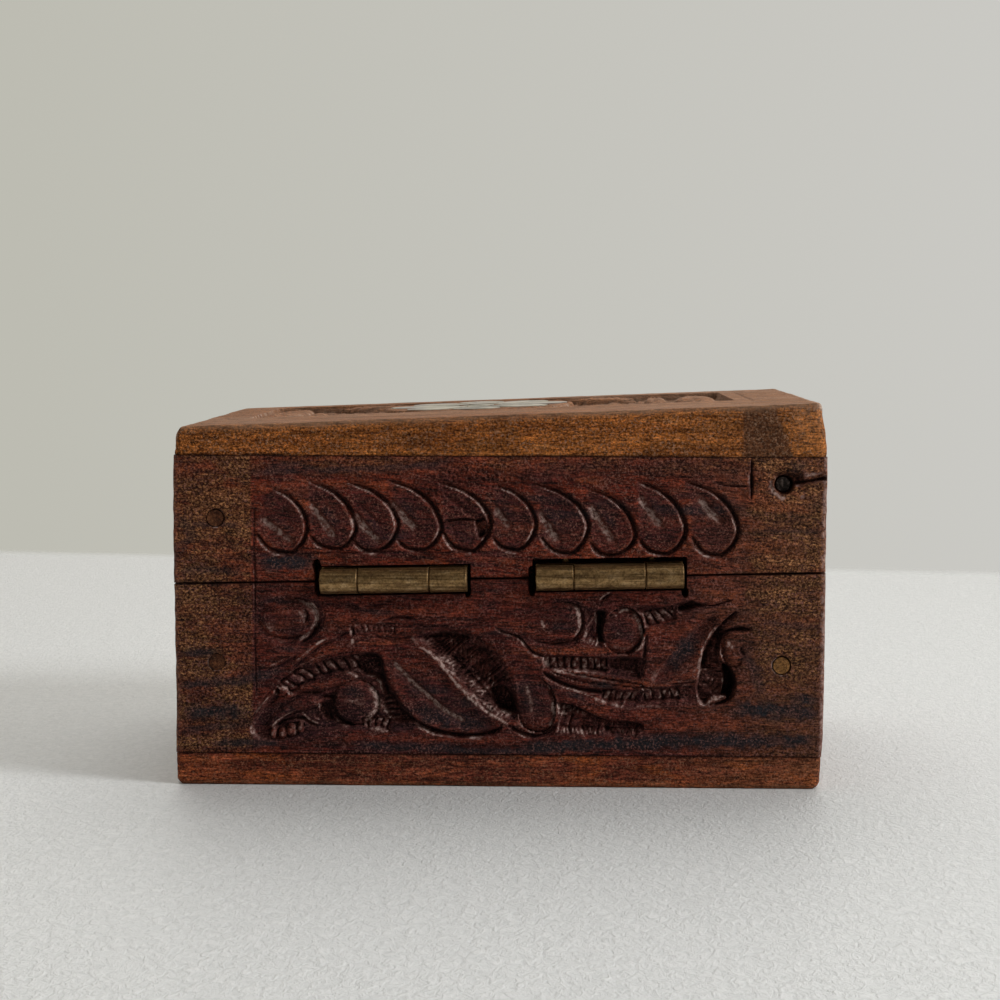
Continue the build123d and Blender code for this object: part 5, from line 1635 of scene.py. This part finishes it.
def shell():
    """Mother-of-pearl, one tone to a petal, with soft bands and brown stains."""
    f = Finish("shell_inlay")
    cloud = f.noise((0.10, 0.10, 0.10), 2, 0.45, 0.3)
    base = f.ramp(cloud, (0.38, "6e685a"), (0.45, "958d7a"), (0.51, "bab29e"), (0.57, "857b77"),
                  (0.66, "a9a28f"))
    bands = f.noise((0.5, 1.7, 0.5), 3, 0.5, 0.9)
    base = f.patched(base, "cfc9b9", bands, 0.50, 0.62, 0.30)
    base = f.patched(base, "7d7a6c", bands, 0.46, 0.36, 0.30)
    stain = f.noise((0.5, 0.8, 0.8), 5, 0.75)
    base = f.patched(base, "54412f", stain, 0.49, 0.66, 0.42)
    scratch = f.noise((5, 5, 5), 3, 0.6)
    return f.done(base, f.span(scratch, 0.34, 0.6), f.bump(bands, 0.04, 0.4), Specular_IOR_Level=0.22)


def plug_wood():
    """End-grain plugs, as dark as the wood round them; the rear's lower right one is paler."""
    f = Finish("plug_end_grain")
    dots = f.noise((2.6, 0.6, 2.6), 4, 0.7)
    cloud = f.noise((0.9, 0.9, 0.9), 3, 0.6)
    base = f.ramp(cloud, (0.3, "2c150a"), (0.5, "482716"), (0.68, "684028"))
    side = f.add("ShaderNodeSeparateXYZ", {"Vector": f.place}).outputs
    pale = f.math("MULTIPLY", f.between(side["X"], -0.03, -0.04), f.between(side["Y"], 0.0, 0.03))
    base = f.laid(base, "94693a", pale, 0.7)
    base = f.toned(base, f.noise((1.9, 1.9, 1.9), 3, 0.7, offset=(4, 1, 7)), 0.62, 1.35)
    base = f.patched(base, "2c160e", dots, 0.50, 0.62, 0.6)
    base = f.toned(base, f.noise((2.2, 2.8, 2.8), 3, 0.8, 0.3), 0.40, 1.6)
    # pale specks: painted glints, as on the wood
    base = f.patched(base, "a87a5c", f.noise((2.7, 2.7, 2.7), 3, 0.75), 0.52, 0.7, 0.3)
    return f.done(base, f.span(dots, 0.50, 0.8), f.bump(dots, 0.22, 0.9), Specular_IOR_Level=0.10)


# ---- The carved boards -----------------------------------------------------------------

X, Y, Z = (1, 0, 0), (0, 1, 0), (0, 0, 1)
minus_x, minus_y, minus_z = (-1, 0, 0), (0, -1, 0), (0, 0, -1)

rear = ((0, half_depth, 0), minus_x, Z, Y)
front = ((0, -half_depth, 0), X, Z, minus_y)
left = ((-half_width, 0, 0), minus_y, Z, minus_x)
right = ((half_width, 0, 0), Y, Z, X)

walls = (
    # side, facing, grid, jointed, the base's carving and wood, and the lid's
    ("rear", rear, rear_grid, False, carve_rear_base, base_wood, carve_rear_lid, rim_wood),
    ("front", front, wall_grid, False, carve_front_base, base_wood, carve_front_lid, rim_wood),
    ("left", left, wall_grid, True, carve_side_base, side_wood, carve_side_lid, side_wood),
    ("right", right, wall_grid, True, carve_side_base, side_wood, carve_side_lid, side_wood),
)
for side, facing, spacing, jointed, base_carving, base_material, lid_carving, lid_material in walls:
    hinged = side == "rear"
    wall_face("base", side, base_carving, base_material, facing, spacing, jointed, hinged)
    wall_face("lid", side, lid_carving, lid_material, facing, spacing, jointed, hinged)


def lid_board():
    """The carved lid board, which tapers towards the right."""
    columns = grid_lines(-half_width, half_width, lid_grid, 2.6, 1.4)
    rows = grid_lines(0, 2 * half_depth, lid_grid, 0.7, 0.9)
    u, v = np.meshgrid(columns, rows)
    relief = Relief(u, v)
    carve_lid_top(relief)
    warp, tool = smooth_noise(u, v, (12, 5), 191), smooth_noise(u, v, (1.8, 0.8), 192)
    relief.depth += 0.05 * (1 + warp) + 0.03 * (1 + tool)
    relief.plain = 0.6 * eased((np.abs(u + 2.5) - 47) / 2)
    # a dusty layer with painted sheen on the top, growing towards the end on the window lamp's side
    relief.film = 0.62 + 0.22 * smooth_noise(u, v, (16, 5), 205) + 0.14 * eased((u - 5) / 35)
    relief.settle()
    relief.rub *= 0.7
    relief.arris(v, 0.42, 193, uneven=0.35, rub=0.2)
    relief.arris(2 * half_depth - v, 0.8, 195, uneven=0.3, rub=0.6)
    relief.arris(u + half_width, 2.3, 197, uneven=0.15, rub=0.4)
    relief.arris(half_width - u, 1.3, 199, uneven=0.2, rub=0.9)

    def sides(co, back):
        edge = np.abs(co[:, 1] - half_depth) > half_depth - 0.01
        end = np.abs(co[:, 0]) > half_width - 0.01
        round_edge = smooth_noise(co[:, 0] + co[:, 1], 14 * back, (3, 1.5), 201)
        soft = 0.05 * (1 + round_edge) * eased(4 * back)
        foot = 0.10 * eased((back - 0.95) / 0.05)
        for axis, here, centre in ((0, end, 0), (1, edge, half_depth)):
            co[:, axis] -= np.where(here, np.sign(co[:, axis] - centre) * (soft + foot), 0)
        slanted = 47.4 + 3.2 * back
        rear_face = co[:, 1] < 1
        patch = eased((co[:, 0] - 41.2) / 0.8) * eased((slanted - co[:, 0]) / 0.8) * rear_face
        # pale along the top edge: painted highlight, with wear
        worn = 0.7 * eased((0.14 - back) / 0.14)
        broken = 0.9 + 0.8 * smooth_noise(co[:, 0], co[:, 1], (7, 7), 203)
        line = eased((back - 0.965) / 0.035) * eased(broken)
        gaping = 1.2 * smooth_noise(co[:, 0], co[:, 1], (3, 3), 207) + 0.7
        gap = eased((-32 - co[:, 0]) / 4) * eased(gaping)
        line = np.maximum(line, gap * eased((back - 0.90) / 0.04))
        pale_end = eased((co[:, 0] - 48.8) / 2.5) * rear_face
        return {
            "plain": 0.50 - 0.4 * pale_end + 0.35 * eased((-30 - co[:, 0]) / 10),
            "streak": 0.8 * patch,
            "warm": np.maximum(worn, pale_end),
            "rub": 0.45 * worn + 0.30 * pale_end * (1 - back),
            "grime": line,
        }

    plan = ((0, half_depth), (half_width, half_depth), 1.6)
    name = "lid_board_carving"
    mesh = board_mesh(name, u, v, relief, tapering, lid_board_thickness, 16, sides, plan)
    return add_piece(name, mesh, "lid", ["lid_top_board"], lid_wood)


def bottom_board():
    """The plain bottom board, seen mostly as a band round the foot of the box."""
    columns = grid_lines(-half_width, half_width, bottom_grid, 0.7, 0.7)
    rows = grid_lines(-half_depth, half_depth, bottom_grid, 0.7, 0.7)
    u, v = np.meshgrid(columns, rows)
    relief = Relief(u, v)
    relief.depth += 0.02 * (1 + smooth_noise(u, v, (9, 3), 291))
    for place in bottom_nails:
        relief.hole(place, bottom_nail_radius, bottom_nail_depth)
    relief.settle()
    relief.arris(half_width - np.abs(u), 0.75, 293, uneven=0.3, rub=0.3)
    relief.arris(half_depth - np.abs(v), 0.6, 295, uneven=0.3, rub=0.3)

    def sides(co, back):
        round_edge = smooth_noise(co[:, 0] + co[:, 1], 9 * back, (3, 1.5), 301)
        soft = 0.05 * (1 + round_edge) * eased(4 * back)
        foot = 0.12 * eased((back - 0.93) / 0.07)
        for axis, half in ((0, half_width), (1, half_depth)):
            here = np.abs(co[:, axis]) > half - 0.01
            co[:, axis] -= np.where(here, np.sign(co[:, axis]) * (soft + foot), 0)
        # darker along the bottom edge, where the board sits on the table
        return {"plain": np.full(len(co), 0.15), "grime": eased((back - 0.94) / 0.06)}

    place = placing((0, 0, 0), X, minus_y, minus_z)
    plan = ((0, 0), (half_width, half_depth), 1.3)
    name = "bottom_board_worn"
    mesh = board_mesh(name, u, v, relief, place, floor_top, 12, sides, plan)
    return add_piece(name, mesh, "base", ["base_bottom_board"], foot_wood)


lid_board()
bottom_board()

# ---- Carried-over parts ----------------------------------------------------------------

finishes = {
    "hinge": aged_brass(),
    "nails": dark_iron(),
    "plugs": plug_wood(),
    "inlay": shell(),
}
for name, node in frame["nodes"].items():
    for key, material in finishes.items():
        if key in name:
            node.data.materials.clear()
            node.data.materials.append(material)

# ---- Floor, backdrop, light and camera -------------------------------------------------


def stage():
    """A pale table top that ends softly some way behind the box."""
    far_edge, turn = 0.292, -7.8
    bm = bmesh.new()
    bmesh.ops.create_grid(bm, x_segments=1, y_segments=1, size=1.5)
    mesh = bpy.data.meshes.new("table_top")
    move = Matrix.Rotation(radians(turn), 4, "Z") @ Matrix.Translation((0, 1.5 - far_edge, 0))
    bmesh.ops.transform(bm, verts=bm.verts, matrix=move)
    bm.to_mesh(mesh)
    bm.free()
    floor = bpy.data.objects.new("table_top", mesh)
    bpy.context.scene.collection.objects.link(floor)
    f = Finish("pale_table")
    across = f.add("ShaderNodeVectorRotate", {"Vector": f.place, "Angle": radians(-turn)},
                   rotation_type="Z_AXIS")
    distance = f.add("ShaderNodeSeparateXYZ", {"Vector": across.outputs[0]}).outputs["Y"]
    solid = f.between(distance, -far_edge + 0.001, -far_edge + 0.02)
    grain = f.noise((0.85, 0.60, 0.85), 4, 0.6, 1.2)
    tone = f.ramp(grain, (0.3, "d8d9d8"), (0.7, "eaeae9"))
    f.done(tone, f.span(grain, 0.36, 0.50), f.bump(grain, 0.45, 0.8), Specular_IOR_Level=0.4, Alpha=solid)
    mesh.materials.append(f.material)


def lamp(name, place, target, size, power, tint):
    """A round soft lamp that faces its target."""
    data = bpy.data.lights.new(name, "AREA")
    data.shape = "DISK"
    data.size = size
    data.energy = power
    data.color = tint
    light = bpy.data.objects.new(name, data)
    light.location = place
    light.rotation_euler = (Vector(target) - Vector(place)).to_track_quat("-Z", "Y").to_euler()
    bpy.context.scene.collection.objects.link(light)


def world():
    """Soft daylight that comes from behind the box and above, and the wall's own colour."""
    sky = bpy.data.worlds.new("room")
    bpy.context.scene.world = sky
    sky.use_nodes = True
    nodes, links = sky.node_tree.nodes, sky.node_tree.links

    def spread(value, low, high, first, last):
        node = nodes.new("ShaderNodeMapRange")
        links.new(value, node.inputs["Value"])
        for key, number in zip(("From Min", "From Max", "To Min", "To Max"), (low, high, first, last)):
            node.inputs[key].default_value = number
        return node.outputs["Result"]

    way = nodes.new("ShaderNodeTexCoord").outputs["Generated"]
    split = nodes.new("ShaderNodeSeparateXYZ")
    links.new(way, split.inputs[0])
    light = nodes["Background"]
    light.inputs["Color"].default_value = (1.0, 0.965, 0.87, 1)
    links.new(spread(split.outputs["Y"], -0.8, 0.9, 0.64, 0.08), light.inputs["Strength"])
    wall = nodes.new("ShaderNodeBackground")
    tone = nodes.new("ShaderNodeMix")
    tone.data_type = "RGBA"
    links.new(spread(split.outputs["X"], -0.22, 0.26, 0.0, 1.0), tone.inputs[0])
    tone.inputs[6].default_value = colour("cac9c4")
    tone.inputs[7].default_value = colour("bdbcb2")
    links.new(tone.outputs[2], wall.inputs["Color"])
    seen = nodes.new("ShaderNodeLightPath")
    either = nodes.new("ShaderNodeMixShader")
    links.new(seen.outputs["Is Camera Ray"], either.inputs[0])
    links.new(light.outputs[0], either.inputs[1])
    links.new(wall.outputs[0], either.inputs[2])
    links.new(either.outputs[0], nodes["World Output"].inputs["Surface"])


def camera():
    """A long lens level with the box's rear, a little above it."""
    place = Vector((-0.0107, 0.3769, 0.0807))
    yaw, pitch, roll = radians(-1.74), radians(5.16), radians(0.08)
    forward = Vector((-sin(yaw) * cos(pitch), -cos(yaw) * cos(pitch), -sin(pitch)))
    level = Vector((-cos(yaw), sin(yaw), 0))
    over = level.cross(forward)
    side = cos(roll) * level + sin(roll) * over
    above = side.cross(forward)
    data = bpy.data.cameras.new("camera")
    data.lens = 72.43
    data.sensor_width = 36
    data.clip_start = 0.01
    view = bpy.data.objects.new("camera", data)
    view.matrix_world = Matrix.Translation(place) @ Matrix((side, above, -forward)).transposed().to_4x4()
    bpy.context.scene.collection.objects.link(view)
    bpy.context.scene.camera = view


stage()
world()
lamp("window", (-0.75, 0.27, 0.54), (0, 0.02, 0.03), 0.30, 5.2, (0.95, 0.975, 1.0))
lamp("ceiling", (0.0, -0.55, 0.95), (0, 0, 0.0), 1.0, 4.2, (1.0, 1.0, 1.0))
camera()
bpy.context.scene.view_settings.view_transform = "Standard"
